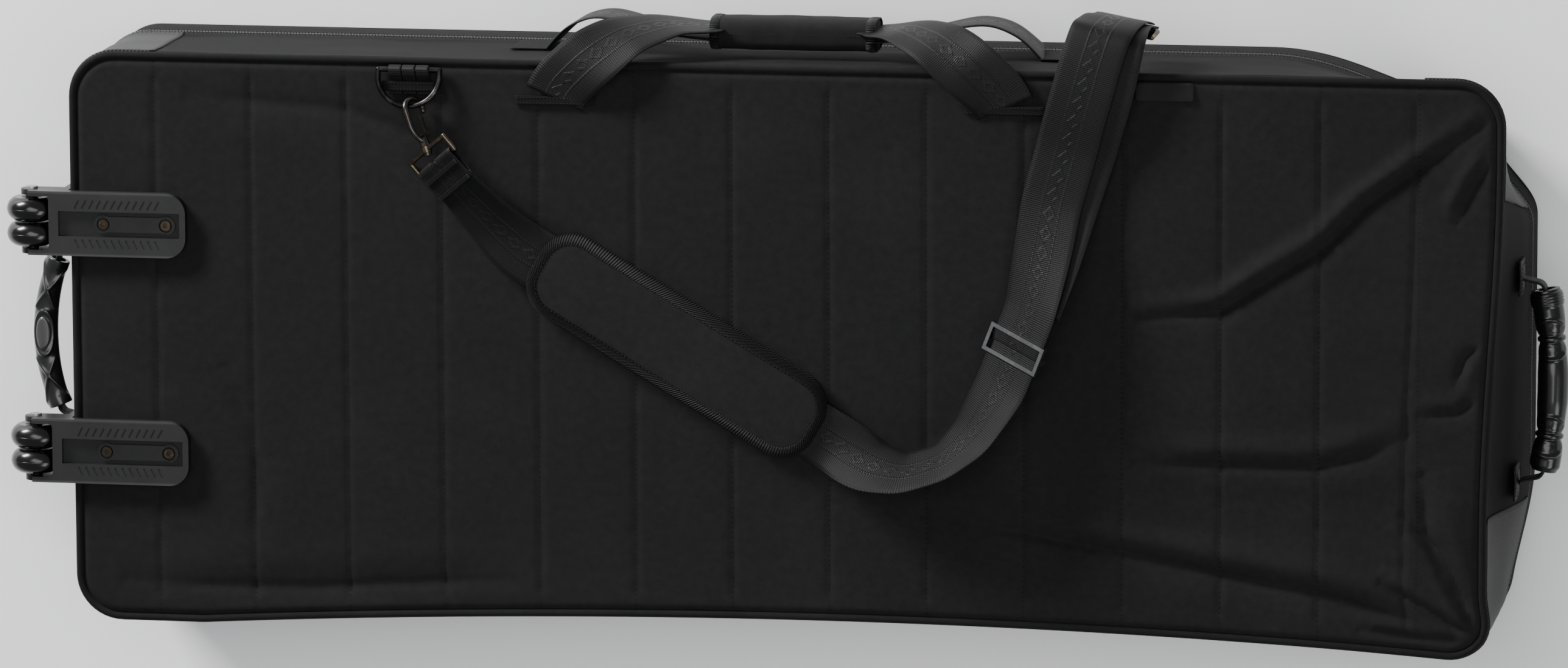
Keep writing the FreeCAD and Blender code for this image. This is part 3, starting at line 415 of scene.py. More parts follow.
def slump(points):
    """How the stuffed bag sags.

    The hinge side bows in at the panel, both far lower corners are drawn in, the far wall bulges low down
    and the panel's far edge is drawn in with it.
    """
    p = np.array(points, float)
    x, y, z = p[:, 0].copy(), p[:, 1].copy(), p[:, 2].copy()
    high = smooth((z - 0.060) / 0.105)
    low = smooth((0.168 - z) / 0.12)
    far_end = smooth((x - 0.43) / 0.15)
    p[:, 1] += 0.018 * high * np.clip(1 - ((x - 0.05) / 0.54) ** 2, 0, 1) * smooth((-y - 0.06) / 0.17)
    p[:, 1] -= 0.040 * low * smooth((x - 0.385) / 0.21) * smooth((y - 0.04) / 0.19)
    p[:, 0] -= 0.030 * low * smooth((y - 0.12) / 0.10) * smooth((x - 0.40) / 0.19)
    p[:, 0] -= 0.020 * low * smooth((-y - 0.10) / 0.13) * far_end
    p[:, 0] += (0.008 * (1 - high) * smooth((0.20 - y) / 0.07) - 0.004 * high) * far_end
    p[:, 0] -= 0.012 * high * far_end * smooth((0.17 - y) / 0.30) * (1 - 0.5 * smooth((-y - 0.18) / 0.05))
    return p


def outline(offset, step=0.0046):
    """Points round the rounded rectangle, offset outwards: xy, outward normals and run along the line.

    The count depends only on step, so outlines at different offsets match point for point.
    """
    a, b, r = HALF_L - CORNER, HALF_W - CORNER, CORNER + offset
    xy, normals, run = [], [], []
    done = 0.0
    turns = [((a, -b), -90), ((a, b), 0), ((-a, b), 90), ((-a, -b), 180)]
    sides = [2 * b, 2 * a, 2 * b, 2 * a]
    for ((cx, cy), start), side in zip(turns, sides):
        arc = CORNER * math.pi / 2
        count = 12
        for i in range(count):
            t = math.radians(start + 90 * i / count)
            xy.append((cx + r * math.cos(t), cy + r * math.sin(t)))
            normals.append((math.cos(t), math.sin(t)))
            run.append(done + arc * i / count)
        done += arc
        t = math.radians(start + 90)
        nx, ny = math.cos(t), math.sin(t)
        count = max(2, round(side / step))
        for i in range(count):
            d = side * i / count
            xy.append((cx + r * nx - ny * d, cy + r * ny + nx * d))
            normals.append((nx, ny))
            run.append(done + d)
        done += side
    return np.array(xy), np.array(normals), np.array(run)


def finish(bm, name, material, body, stands_for=(), slot=None):
    """Merges, turns faces outwards, and puts the piece on its body."""
    bmesh.ops.remove_doubles(bm, verts=bm.verts, dist=2e-6)
    bmesh.ops.dissolve_degenerate(bm, edges=bm.edges, dist=1e-7)
    bmesh.ops.recalc_face_normals(bm, faces=bm.faces)
    mesh = bpy.data.meshes.new(name)
    bm.to_mesh(mesh)
    bm.free()
    mesh.polygons.foreach_set("use_smooth", [True] * len(mesh.polygons))
    mesh.materials.append(material)
    obj = bpy.data.objects.new(name, mesh)
    bpy.context.scene.collection.objects.link(obj)
    if body:
        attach(obj, body)
    if stands_for:
        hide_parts(*stands_for)
    return obj


def laid(name, rows, uv, material, body=None, ring=False, loop=False, caps=False, thick=0.0, **more):
    """A grid laid onto rows of points and sewn up where it comes back to itself.

    ring joins each row's ends, loop joins the last row to the first, caps close the open ends, and thick
    gives an open sheet its thickness.
    """
    rows, uv = np.array(rows, float), np.array(uv, float)
    if ring:
        last = uv[:, -1:] + (uv[:, -1:] - uv[:, -2:-1])
        rows, uv = np.concatenate([rows, rows[:, :1]], axis=1), np.concatenate([uv, last], axis=1)
    if loop:
        rows, uv = np.concatenate([rows, rows[:1]]), np.concatenate([uv, 2 * uv[-1:] - uv[-2:-1]])
    bm = bmesh.new()
    bmesh.ops.create_grid(bm, x_segments=rows.shape[1] - 1, y_segments=rows.shape[0] - 1, size=1.0)
    layer = bm.loops.layers.uv.new("UVMap")
    for vert, point, mark in zip(bm.verts, rows.reshape(-1, 3), uv.reshape(-1, 2)):
        vert.co = point
        for corner in vert.link_loops:
            corner[layer].uv = mark
    bmesh.ops.remove_doubles(bm, verts=bm.verts, dist=2e-6)
    if caps:
        bmesh.ops.holes_fill(bm, edges=[e for e in bm.edges if e.is_boundary], sides=0)
    if thick:
        bmesh.ops.recalc_face_normals(bm, faces=bm.faces)
        bmesh.ops.solidify(bm, geom=bm.faces, thickness=thick)
    return finish(bm, name, material, body, **more)


def cushion(name, half_x, half_y, corner, cells, high, low, place, material, body=None, **more):
    """A closed pillow with a rounded rectangle for its plan; high and low give its faces' heights."""
    bm = bmesh.new()
    bmesh.ops.create_grid(bm, x_segments=cells[0], y_segments=cells[1], size=1.0)
    layer = bm.loops.layers.uv.new("UVMap")
    plan = squared(np.array([v.co[:2] for v in bm.verts]) * [half_x, half_y], half_x, half_y, corner)
    for vert, spot in zip(bm.verts, plan):
        vert.co = (spot[0], spot[1], 0.0)
        for loop_corner in vert.link_loops:
            loop_corner[layer].uv = spot + 1
    under = list(bm.verts)
    made = bmesh.ops.extrude_face_region(bm, geom=list(bm.faces), use_keep_orig=True)["geom"]
    over = [g for g in made if isinstance(g, bmesh.types.BMVert)]
    for verts, height in ((under, low), (over, high)):
        spots = np.array([v.co[:2] for v in verts])
        inner = edge_distance(spots, half_x, half_y, corner)
        for vert, point in zip(verts, place(np.column_stack([spots, height(spots, inner)]))):
            vert.co = point
    return finish(bm, name, material, body, **more)


def skirt(profile, wobble=None, sides=None):
    """Rows of a profile of (offset, z) swept round the outline, or part of it, and slumped, with UVs."""
    rows, uvs = [], []
    drop = 0.0
    whole, _, _ = outline(0)
    order = np.arange(len(whole)) if sides is None else arc_order(sides(*whole.T))
    for k, (offset, z) in enumerate(profile):
        xy, normals, run = outline(offset)
        if k:
            drop += math.hypot(offset - profile[k - 1][0], z - profile[k - 1][1])
        points = np.column_stack([xy, np.full(len(xy), z)])
        if wobble is not None:
            points[:, :2] += normals * wobble(points, run)[:, None]
        rows.append(slump(points[order]))
        uvs.append(np.column_stack([run, np.full(len(run), drop)])[order])
    return rows, uvs


def arc_order(keep):
    """The kept indices in order along the outline, starting after the gap."""
    count = len(keep)
    start = next(i for i in range(count) if keep[i] and not keep[i - 1])
    order = []
    i = start
    while keep[i % count] and len(order) < count:
        order.append(i % count)
        i += 1
    return np.array(order)


def wall(name, low, high, outer, inner, material, body, wobble=None, sides=None, hem=0.0, **more):
    """A wall of cloth between two heights, with an outer face, an inner face and folded edges."""
    count = max(3, round(abs(high - low) / 0.007))
    zs = [low + (high - low) * i / count for i in range(count + 1)]
    sewn = low if low > ZIP else high
    face = [(outer + (hem if abs(z - sewn) < 0.007 else 0.0), z) for z in zs]
    middle = (outer + inner) / 2
    profile = face + [(middle, high)] + [(inner, z) for z in reversed(zs)] + [(middle, low)]
    rows, uv = skirt(profile, wobble, sides)
    whole = sides is None
    return laid(name, rows, uv, material, body, ring=whole, loop=True, caps=not whole, **more)


def run_along(points):
    """How far along a path each of its points lies."""
    return np.concatenate([[0], np.cumsum(np.linalg.norm(np.diff(points, axis=0), axis=1))])


def stitches(name, runs, body, pitch=0.0036, length=0.0026, radius=0.00034, slot=None):
    """Rows of separate sewn stitches. A run is its points and the surface's normal at each."""
    bm = bmesh.new()
    for points, normals in runs:
        points, normals = np.array(points, float), np.array(normals, float)
        at = run_along(points)
        for k in range(int(at[-1] / pitch)):
            spot = k * pitch + pitch / 2
            ends = [Vector([np.interp(spot + way * length / 2, at, points[:, i]) for i in range(3)])
                    for way in (-1, 1)]
            up = Vector([np.interp(spot, at, normals[:, i]) for i in range(3)]).normalized()
            ahead = (ends[1] - ends[0]).normalized()
            side = ahead.cross(up).normalized()
            up = side.cross(ahead)
            middle = (ends[0] + ends[1]) / 2 + up * radius * 0.3
            turn = Matrix((ahead, side, up)).transposed().to_4x4()
            size = Matrix.Diagonal((length / 2, radius, radius * 0.8, 1))
            shape = Matrix.Translation(middle) @ turn @ size
            bmesh.ops.create_icosphere(bm, subdivisions=1, radius=1.0, matrix=shape, calc_uvs=True)
    return finish(bm, name, THREAD, body, slot=slot)


def resample(points, step):
    points = np.array(points, float)
    at = run_along(points[:, :3])
    s = np.linspace(0, at[-1], max(3, int(at[-1] / step) + 1))
    return np.column_stack([np.interp(s, at, points[:, i]) for i in range(points.shape[1])]), s


def soften(values, times):
    """Evens out a run of rows, with its ends kept."""
    values = values.copy()
    for _ in range(times):
        values[1:-1] = (values[:-2] + 2 * values[1:-1] + values[2:]) / 4
    return values


def ribbon(name, stations, width, thick, material, body=None, soft=14, step=0.003, cup=0.0, start=0.0,
           **more):
    """Webbing through stations (point, direction across), with the points in millimetres."""
    stations = np.array(stations, float) * [MM, MM, MM, 1, 1, 1]
    rows, run = resample(stations, step)
    rows = soften(rows, soft)
    points, across = rows[:, :3], rows[:, 3:]
    ahead = np.gradient(points, axis=0)
    ahead /= np.linalg.norm(ahead, axis=1)[:, None]
    across = across - ahead * np.sum(across * ahead, axis=1)[:, None]
    across /= np.linalg.norm(across, axis=1)[:, None]
    normal = np.cross(ahead, across)
    columns = np.linspace(-1, 1, 13)
    section = [(c, 0.5) for c in columns] + [(1.012, 0.0)]
    section += [(c, -0.5) for c in columns[::-1]] + [(-1.012, 0.0)]
    laid_rows, uv = [], []
    for p, a, up, s in zip(points, across, normal, run):
        laid_rows.append([p + a * (c * width / 2) + up * (h * thick * (1 - 0.35 * abs(c) ** 10)
                                                          - cup * (c * c - 0.33)) for c, h in section])
        uv.append([((c + 1) / 2 * width, s + start) for c, h in section])
    obj = laid(name, laid_rows, uv, material, body, ring=True, caps=True, **more)
    return obj, points


def bar(path, radius, sides=12, closed=False):
    """Rows and UVs of a round bar along a path."""
    path = np.array(path, float)
    if closed:
        ahead = np.roll(path, -1, axis=0) - np.roll(path, 1, axis=0)
    else:
        ahead = np.gradient(path, axis=0)
    ahead /= np.linalg.norm(ahead, axis=1)[:, None]
    up = np.array([0.0, 0.0, 1.0])
    rows, uv = [], []
    run = 0.0
    for i, (p, t) in enumerate(zip(path, ahead)):
        up = up - t * up.dot(t)
        up /= np.linalg.norm(up)
        side = np.cross(t, up)
        if i:
            run += np.linalg.norm(p - path[i - 1])
        turns = [2 * math.pi * k / sides for k in range(sides)]
        rows.append([p + (up * math.cos(a) + side * math.sin(a)) * radius for a in turns])
        uv.append([(run, a * radius) for a in turns])
    return rows, uv


def squared(grid, half_x, half_y, corner):
    """Draws a plain grid's corners in to the rounded rectangle's."""
    cx = np.sign(grid[:, 0]) * (half_x - corner)
    cy = np.sign(grid[:, 1]) * (half_y - corner)
    dx, dy = grid[:, 0] - cx, grid[:, 1] - cy
    inside = (np.abs(grid[:, 0]) > half_x - corner) & (np.abs(grid[:, 1]) > half_y - corner)
    reach = np.maximum(np.hypot(dx, dy), 1e-9)
    share = np.where(inside, np.maximum(np.abs(dx), np.abs(dy)) / reach, 1.0)
    grid = grid.copy()
    grid[:, 0] = np.where(inside, cx + dx * share, grid[:, 0])
    grid[:, 1] = np.where(inside, cy + dy * share, grid[:, 1])
    return grid


def edge_distance(grid, half_x, half_y, corner):
    """How far inside the rounded rectangle each point lies."""
    qx = np.abs(grid[:, 0]) - (half_x - corner)
    qy = np.abs(grid[:, 1]) - (half_y - corner)
    outside = np.hypot(np.maximum(qx, 0), np.maximum(qy, 0)) + np.minimum(np.maximum(qx, qy), 0)
    return corner - outside


def polyline_field(xy, line):
    """Distance from a polyline, how far along it, and which side, for each point."""
    line = np.array(line, float)
    best = np.full(len(xy), 9.0)
    along = np.zeros(len(xy))
    side = np.zeros(len(xy))
    lengths = np.linalg.norm(np.diff(line, axis=0), axis=1)
    total = lengths.sum()
    done = 0.0
    for a, b, length in zip(line[:-1], line[1:], lengths):
        t = np.clip(((xy - a) @ (b - a)) / length ** 2, 0, 1)
        near = a + t[:, None] * (b - a)
        d = np.linalg.norm(xy - near, axis=1)
        turn = (b - a)[0] * (xy - a)[:, 1] - (b - a)[1] * (xy - a)[:, 0]
        closer = d < best
        best = np.where(closer, d, best)
        along = np.where(closer, (done + t * length) / total, along)
        side = np.where(closer, np.sign(turn), side)
        done += length
    return best, along, side


# ---- The quilted back panel ----------------------------------------------------------------------------
# (line, depth of the valley, its half width, height of the ridge beside it, which side the ridge is on)
FOLDS = [
    ([(0.587, 0.207), (0.53, 0.167), (0.484, 0.135), (0.448, 0.099), (0.404, 0.072), (0.364, 0.045),
      (0.29, 0.036)], 4.5, 7.0, 4.0, -1),
    ([(0.593, 0.181), (0.575, 0.155), (0.566, 0.137), (0.561, 0.122)], 3.0, 6.0, 2.5, -1),
    ([(0.114, -0.137), (0.198, -0.152), (0.28, -0.168), (0.37, -0.184), (0.447, -0.195), (0.523, -0.211),
      (0.575, -0.226)], 5.0, 11.0, 3.0, 1),
    ([(0.291, -0.084), (0.367, -0.083), (0.439, -0.083), (0.489, -0.071), (0.53, -0.052)], 3.0, 9.0, 2.5, 1),
    ([(0.593, 0.028), (0.574, 0.012), (0.567, -0.011)], 3.0, 6.0, 1.8, 1),
    ([(0.590, -0.020), (0.570, -0.034), (0.535, -0.037)], 2.5, 6.0, 1.5, -1),
    ([(0.541, -0.083), (0.547, -0.134), (0.563, -0.174), (0.590, -0.209)], 3.5, 13.0, 2.0, 1),
    ([(0.500, -0.178), (0.545, -0.198), (0.584, -0.221)], 3.5, 6.0, 3.0, 1),
    ([(0.480, -0.222), (0.530, -0.224), (0.580, -0.228)], 3.0, 5.0, 2.5, 1),
    ([(0.520, -0.120), (0.560, -0.150), (0.580, -0.190), (0.588, -0.222)], 3.0, 6.0, 2.5, -1),
    ([(-0.56, -0.205), (-0.40, -0.213), (-0.22, -0.208)], 2.2, 14.0, 0.6, 1),
    ([(-0.50, 0.205), (-0.36, 0.195), (-0.26, 0.160)], 1.6, 16.0, 0.5, -1),
    ([(-0.47, -0.02), (-0.44, -0.10), (-0.45, -0.19)], 1.4, 16.0, 0.4, 1),
]


def quilt_height(xy):
    """The panel's height above its seam, in metres: channels between stitch lines, folds and slack."""
    x, y = xy[:, 0], xy[:, 1]
    along = x / QUILT_PITCH + QUILT_LINES / 2
    line = np.abs(along - np.floor(along) - 0.5) * QUILT_PITCH
    flat = np.column_stack([x, y, np.zeros(len(x))])
    quiet = 1 - smooth((np.abs(y) - 0.214) / 0.012)
    quiet *= 1 - smooth((np.abs(x) - 0.545) / 0.015)
    pucker = ripple(flat, 70.0, 3.0) * np.exp(-line / 0.012)
    height = -1.5 * np.exp(-(line / 0.0022) ** 2) * quiet
    height += 0.55 * pucker * quiet
    height -= 0.35 * np.exp(-line / 0.010) * quiet
    height += 0.8 * ripple(flat, 6.0, 1.0) + 0.35 * ripple(flat, 19.0, 5.0)
    for path, depth, width, ridge, way in FOLDS:
        d, t, side = polyline_field(xy, path)
        d = d / MM
        fade = smooth(t / 0.25) * smooth((1 - t) / 0.25) if way else 1
        fade = np.maximum(fade, 0.35 * (t > 0) * (t < 1))
        crease = 0.62 * np.exp(-(d / (0.36 * width)) ** 2)
        valley = 0.50 * np.exp(-(d / (1.2 * width)) ** 2)
        crest = ridge * np.exp(-((d - width * 1.7) / (width * 1.1)) ** 2) * (side == way)
        height += 1.35 * (-depth * (crease + valley) + crest) * fade
    hollow = smooth((x - 0.27) / 0.06) * smooth((0.56 - x) / 0.06) * smooth((y + 0.175) / 0.04) * smooth(
        (-0.085 - y) / 0.03)
    height -= 2.2 * hollow
    under_strap = strap_shadow(x, y)
    height = np.where(height > 0, height * (1 - under_strap), height)
    height = np.clip(height, -7.5, 5.0)
    return height * MM


def strap_shadow(x, y):
    """1 under the brackets, the pad, the glide and the straps, where the panel has to stay down."""
    keep = smooth((-0.485 - x) / 0.02) * smooth((0.045 - np.abs(np.abs(y) - BRACKET_Y)) / 0.01)
    for path, wide in (
        ([(-0.300, 0.180), (-0.240, 0.107), (-0.216, 0.084), (0.046, -0.070), (0.090, -0.095),
          (0.140, -0.090), (0.190, -0.010), (0.215, 0.060), (0.235, 0.170), (0.262, 0.240)], 0.045),
        ([(-0.34, 0.215), (-0.27, 0.215)], 0.03),
        ([(-0.22, 0.208), (-0.15, 0.208)], 0.016),
        ([(0.15, 0.208), (0.22, 0.208)], 0.016),
        ([(0.29, 0.225), (0.345, 0.225)], 0.014),
        ([(0.235, 0.215), (0.300, 0.215)], 0.03),
    ):
        d, _, _ = polyline_field(np.column_stack([x, y]), path)
        keep = np.maximum(keep, smooth((wide - d) / 0.012))
    return keep


def back_panel():
    inset = 0.0015

    def high(spots, inner):
        roll = 0.0034 * (1 - smooth(inner / 0.0065))
        return 0.1714 + quilt_height(spots) * smooth((inner - 0.004) / 0.012) - roll

    def low(spots, inner):
        return np.full(len(spots), 0.1625) + 0.0012 * (1 - smooth(inner / 0.006))

    panel = cushion("quilted_panel", HALF_L - inset, HALF_W - inset, CORNER - inset, (429, 167), high, low,
                    slump, PANEL, "shell", stands_for=("back_cover", "back_foam"), slot="panel_fabric")
    runs = []
    for i in range(QUILT_LINES):
        x = (i - (QUILT_LINES - 1) / 2) * QUILT_PITCH
        line = np.column_stack([np.full(220, x), np.linspace(-0.222, 0.222, 220)])
        runs.append((slump(np.column_stack([line, quilt_height(line) + 0.1715])), [UP] * 220))
    stitches("quilting_thread", runs, "shell", pitch=QUILT_STITCH, radius=0.0003, slot="panel_fabric")


def slack_wall(points, run):
    """Slack in the side walls, only ever inwards, and none at their sewn edges."""
    share = np.clip((points[:, 2] - 0.052) / 0.114, 0, 1)
    slack = 1.2 + 1.2 * ripple(points, 9.0, 4.0) + 0.5 * ripple(points, 34.0, 2.0)
    pull = 0.4 * np.sin(run / 0.011) * ripple(points, 14.0, 9.0)
    return -np.clip(slack + pull, 0, 4) * MM * smooth(share / 0.1) * smooth((1 - share) / 0.1)


def slack_lining(points, run):
    share = np.clip((points[:, 2] - 0.060) / 0.1018, 0, 1)
    slack = np.abs(1.0 + 1.2 * ripple(points, 8.0, 15.0))
    return -slack * MM * smooth(share / 0.15) * smooth((1 - share) / 0.1)


def shell_skin():
    wall("side_wall", 0.0521, 0.1662, 0.0028, -0.0040, WALL, "shell", slack_wall, hem=0.0004,
         stands_for=("gusset", "gusset_foam"), slot="side_fabric")
    for name, z, body, node in (("back_welting", 0.169, "shell", "back_piping"),
                                ("front_welting", 0.0031, "front", "front_piping")):
        xy, _, _ = outline(0.0)
        rows, uv = bar(slump(np.column_stack([xy, np.full(len(xy), z)])), 0.00305, closed=True)
        laid(name, rows, uv, PIPING, body, ring=True, loop=True, stands_for=(node,), slot="piping")
    xy, normals, _ = outline(0.0033)
    outward = np.column_stack([normals, np.zeros(len(normals))])
    for name, z, body in (("hem_thread_upper", 0.0560, "shell"), ("hem_thread_lower", 0.0400, "front")):
        line = slump(np.column_stack([xy, np.full(len(xy), z)]))
        stitches(name, [(line, outward)], body, pitch=0.0040, slot="side_fabric")


def wear_patches():
    def at_corner(sx, sy, run_x, run_y):
        return lambda x, y: (x * sx > HALF_L - run_x) & (y * sy > HALF_W - run_y)

    def hinge_side(x, y):
        return (y < -HALF_W + 0.02) & (np.abs(x) < HALF_L - 0.070)

    patches = {"patch_wheel_top": at_corner(-1, 1, 0.070, 0.090),
               "patch_far_top": at_corner(1, 1, 0.066, 0.100),
               "patch_wheel_low": at_corner(-1, -1, 0.070, 0.096),
               "patch_far_low": at_corner(1, -1, 0.066, 0.118),
               "patch_hinge_side": hinge_side}
    for name, sides in patches.items():
        stands_for = ("wear_patches",) if name == "patch_wheel_top" else ()
        wall(name, 0.0545, 0.1650, 0.0040, 0.0018, MESH, "shell", slack_wall, sides, stands_for=stands_for,
             slot="mesh_patch")


def lining_slack(spots, inner, seed):
    flat = np.column_stack([spots, np.zeros(len(spots))])
    return (0.9 * ripple(flat, 6.5, seed) + 0.4 * ripple(flat, 24.0, seed / 2)) * MM * smooth(inner / 0.02)


def front_half():
    wall("front_wall", 0.0061, 0.0439, 0.0028, 0.0012, WALL, "front", hem=0.0004,
         stands_for=("front_gusset",), slot="side_fabric")
    inset = 0.0015
    cushion("front_panel", HALF_L - inset, HALF_W - inset, CORNER - inset, (149, 59),
            lambda spots, inner: np.full(len(spots), 0.0092) - 0.0020 * (1 - smooth(inner / 0.008)),
            lambda spots, inner: 0.0002 + 0.0030 * (1 - smooth(inner / 0.008)),
            slump, WALL, "front", stands_for=("front_cover", "front_foam"), slot="panel_fabric")
    inset = 0.0045
    cushion("front_lining_sheet", HALF_L - inset, HALF_W - inset, CORNER - inset, (189, 75),
            lambda spots, inner: 0.0103 + lining_slack(spots, inner, 2.0),
            lambda spots, inner: 0.0098 + lining_slack(spots, inner, 2.0) * 0.5,
            slump, LINING, "front", stands_for=("front_lining",), slot="lining")


def shell_inside():
    inset = 0.0052
    cushion("shell_lining_top", HALF_L - inset, HALF_W - inset, CORNER - inset, (189, 75),
            lambda spots, inner: 0.1621 - np.abs(lining_slack(spots, inner, 12.0)) * 0.5,
            lambda spots, inner: 0.1616 - np.abs(lining_slack(spots, inner, 12.0)),
            slump, LINING, "shell", stands_for=("shell_lining",), slot="lining")
    rows, uv = skirt([(-inset, 0.1618 - 0.1018 * i / 12) for i in range(13)], slack_lining)
    laid("shell_lining_sides", rows, uv, LINING, "shell", ring=True, thick=0.0004, slot="lining")
    for i, x in enumerate((-300, 300)):
        stations = [(x, -150, 160.8, 1, 0, 0), (x, -135, 160.4, 1, 0, 0), (x, 0, 159.8, 1, 0, 0),
                    (x, 135, 160.4, 1, 0, 0), (x, 150, 160.8, 1, 0, 0)]
        ribbon("hold_down_%d" % (i + 1), stations, 0.038, 0.0016, WEB_PLAIN, "shell",
               stands_for=("hold_down_straps",) if i == 0 else (), slot="webbing")


# ---- The zip -------------------------------------------------------------------------------------------
def zip_parts():
    def around(x, y):
        return ~((y < -HALF_W + 0.010) & (np.abs(x) < HALF_L - 0.072))

    def hinge(x, y):
        return (y < -HALF_W + 0.01) & (np.abs(x) < HALF_L - 0.076)

    for name, low, high, body, node in (("zip_tape_lower_cloth", 0.0370, 0.0478, "front", "zip_tape_lower"),
                                        ("zip_tape_upper_cloth", 0.0482, 0.0590, "shell", "zip_tape_upper")):
        wall(name, low, high, 0.0014, 0.0006, TAPE, body, None, around, stands_for=(node,), slot="zip_coil")
    xy, normals, _ = outline(0.0027)
    order = arc_order(xy[:, 1] > CORNER - HALF_W)
    path = np.column_stack([xy[order], normals[order]])
    length = run_along(path[:, :2])
    for name, z, body, node in (("zip_teeth_lower", ZIP - 0.0012, "front", "zip_chain_lower"),
                                ("zip_teeth_upper", ZIP + 0.0012, "shell", "zip_chain_upper")):
        bm = bmesh.new()
        for k in range(int(length[-1] / 0.0026)):
            s = k * 0.0026 + (0.0013 if z > ZIP else 0.0)
            x, y, nx, ny = (np.interp(s, length, path[:, i]) for i in range(4))
            turn = Matrix.Rotation(math.atan2(ny, nx), 4, "Z")
            shape = Matrix.Translation((x, y, z)) @ turn @ Matrix.Diagonal((0.0022, 0.0017, 0.0020, 1))
            bmesh.ops.create_cube(bm, size=1.0, matrix=shape, calc_uvs=True)
        bmesh.ops.bevel(bm, geom=bm.edges, offset=0.0004, segments=1, profile=0.5, affect="EDGES",
                        material=-1)
        for vert, point in zip(bm.verts, slump([v.co for v in bm.verts])):
            vert.co = point
        finish(bm, name, COIL, body, stands_for=(node,), slot="zip_coil")
    profile = [(0.0016 + 0.0004 * math.sin(i * 0.9), 0.034 + 0.0026 * i) for i in range(10)]
    rows, uv = skirt(profile, None, hinge)
    flap = laid("hinge_cloth", rows, uv, WALL, thick=0.0008, stands_for=("hinge_flap",),
                slot="panel_fabric")
    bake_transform(flap)


# ---- Strap, pad and their fittings ---------------------------------------------------------------------
STRAP = [
    (-268.5, 141.1, 191.2, 0.628, 0.527, 0.574), (-262.7, 134.2, 190.7, 0.676, 0.488, 0.552),
    (-238.0, 107.0, 184.0, 0.721, 0.587, 0.369), (-215.8, 84.4, 178.3, 0.530, 0.848, 0.0),
    (45.8, -70.4, 178.3, 0.506, 0.862, 0.0), (76.0, -87.0, 190.0, 0.427, 0.683, -0.593),
    (105.0, -92.0, 196.0, 0.034, 0.506, -0.862), (138.0, -81.0, 196.0, -0.285, 0.413, -0.865),
    (162.0, -59.0, 193.0, -0.598, 0.382, -0.705), (185.8, -18.2, 189.5, -0.807, 0.357, -0.469),
    (210.2, 45.2, 189.5, -0.851, 0.237, -0.469), (219.0, 90.0, 184.0, -0.959, 0.149, -0.241),
    (226.0, 132.0, 180.0, -0.974, 0.215, -0.070), (238.0, 175.0, 181.0, -0.964, 0.264, 0.0),
    (246.0, 205.0, 185.5, -0.962, 0.272, 0.0), (253.0, 228.0, 188.0, -0.961, 0.278, 0.0),
    (259.0, 250.0, 188.5, -0.959, 0.285, -0.007), (267.3, 276.1, 185.9, -0.947, 0.305, -0.096),
    (270.2, 279.7, 172.7, -0.973, 0.159, -0.168), (273.3, 282.3, 157.2, -0.975, 0.137, -0.173),
    (275.8, 282.0, 143.0, -0.980, 0.106, -0.169), (277.5, 279.6, 131.2, -0.982, 0.095, -0.165),
    (279.0, 278.4, 121.8, -0.973, 0.162, -0.167),
]
RETURN = [
    (213.4, 44.2, 187.4, -0.851, 0.237, -0.469), (227.4, 88.3, 182.6, -0.959, 0.149, -0.241),
    (238.9, 129.0, 177.5, -0.974, 0.215, -0.070), (252.5, 171.3, 177.6, -0.964, 0.264, 0.0),
    (261.5, 201.1, 182.1, -0.962, 0.272, 0.0), (268.4, 223.8, 184.6, -0.961, 0.278, 0.0),
    (273.4, 245.6, 185.2, -0.959, 0.285, -0.007), (278.5, 270.9, 184.1, -0.947, 0.305, -0.096),
    (278.5, 275.0, 173.4, -0.973, 0.159, -0.168), (278.7, 278.1, 157.9, -0.975, 0.137, -0.173),
    (278.3, 278.3, 143.7, -0.980, 0.106, -0.169), (278.1, 276.2, 131.9, -0.982, 0.095, -0.165),
    (278.6, 275.1, 121.0, -0.973, 0.162, -0.167),
]
EYE_LEFT = Matrix(((0.6428, 0.6275, -0.4394, -0.2903882), (-0.766, 0.5265, -0.3687, 0.1670993),
                   (0.0, 0.5736, 0.8192, 0.191235), (0, 0, 0, 1)))
EYE_RIGHT = Matrix(((0.2009, -0.9746, 0.0984, 0.2754942), (0.221, 0.143, 0.9647, 0.2688376),
                    (-0.9544, -0.1721, 0.2441, 0.133574), (0, 0, 0, 1)))
EYE_H = 14.0


def web_loop(name, place, tail_low, tail_high):
    """Webbing folded round an eye's far bar: a low tail, the fold, then a high tail."""
    path = [(EYE_H + tail_low, -1.25), (EYE_H + 4, -2.6)]
    path += [(EYE_H - 3.3 * math.sin(math.radians(a)), -3.3 * math.cos(math.radians(a)))
             for a in range(0, 181, 15)]
    path += [(EYE_H + 4, 2.6), (EYE_H + tail_high, 1.25)]
    stations = []
    turn = place.to_3x3()
    across = turn @ Vector((0, 1, 0))
    for x, z in path:
        p = place @ Vector((x * MM, 0, z * MM))
        stations.append((p.x / MM, p.y / MM, p.z / MM, across.x, across.y, across.z))
    ribbon(name, stations, 0.0498, 0.0019, WEB, "shell", soft=1, step=0.0009, slot="webbing")


def eye_stitches(name, place, distances, lift):
    runs = []
    up = place.to_3x3() @ Vector((0, 0, 1))
    for d in distances:
        line = [place @ Vector(((EYE_H + d) * MM, y * MM, lift * MM)) for y in np.linspace(-23, 23, 40)]
        runs.append(([tuple(p) for p in line], [tuple(up)] * 40))
    stitches(name, runs, "shell", pitch=0.0022, length=0.0017, radius=0.0004, slot="webbing")


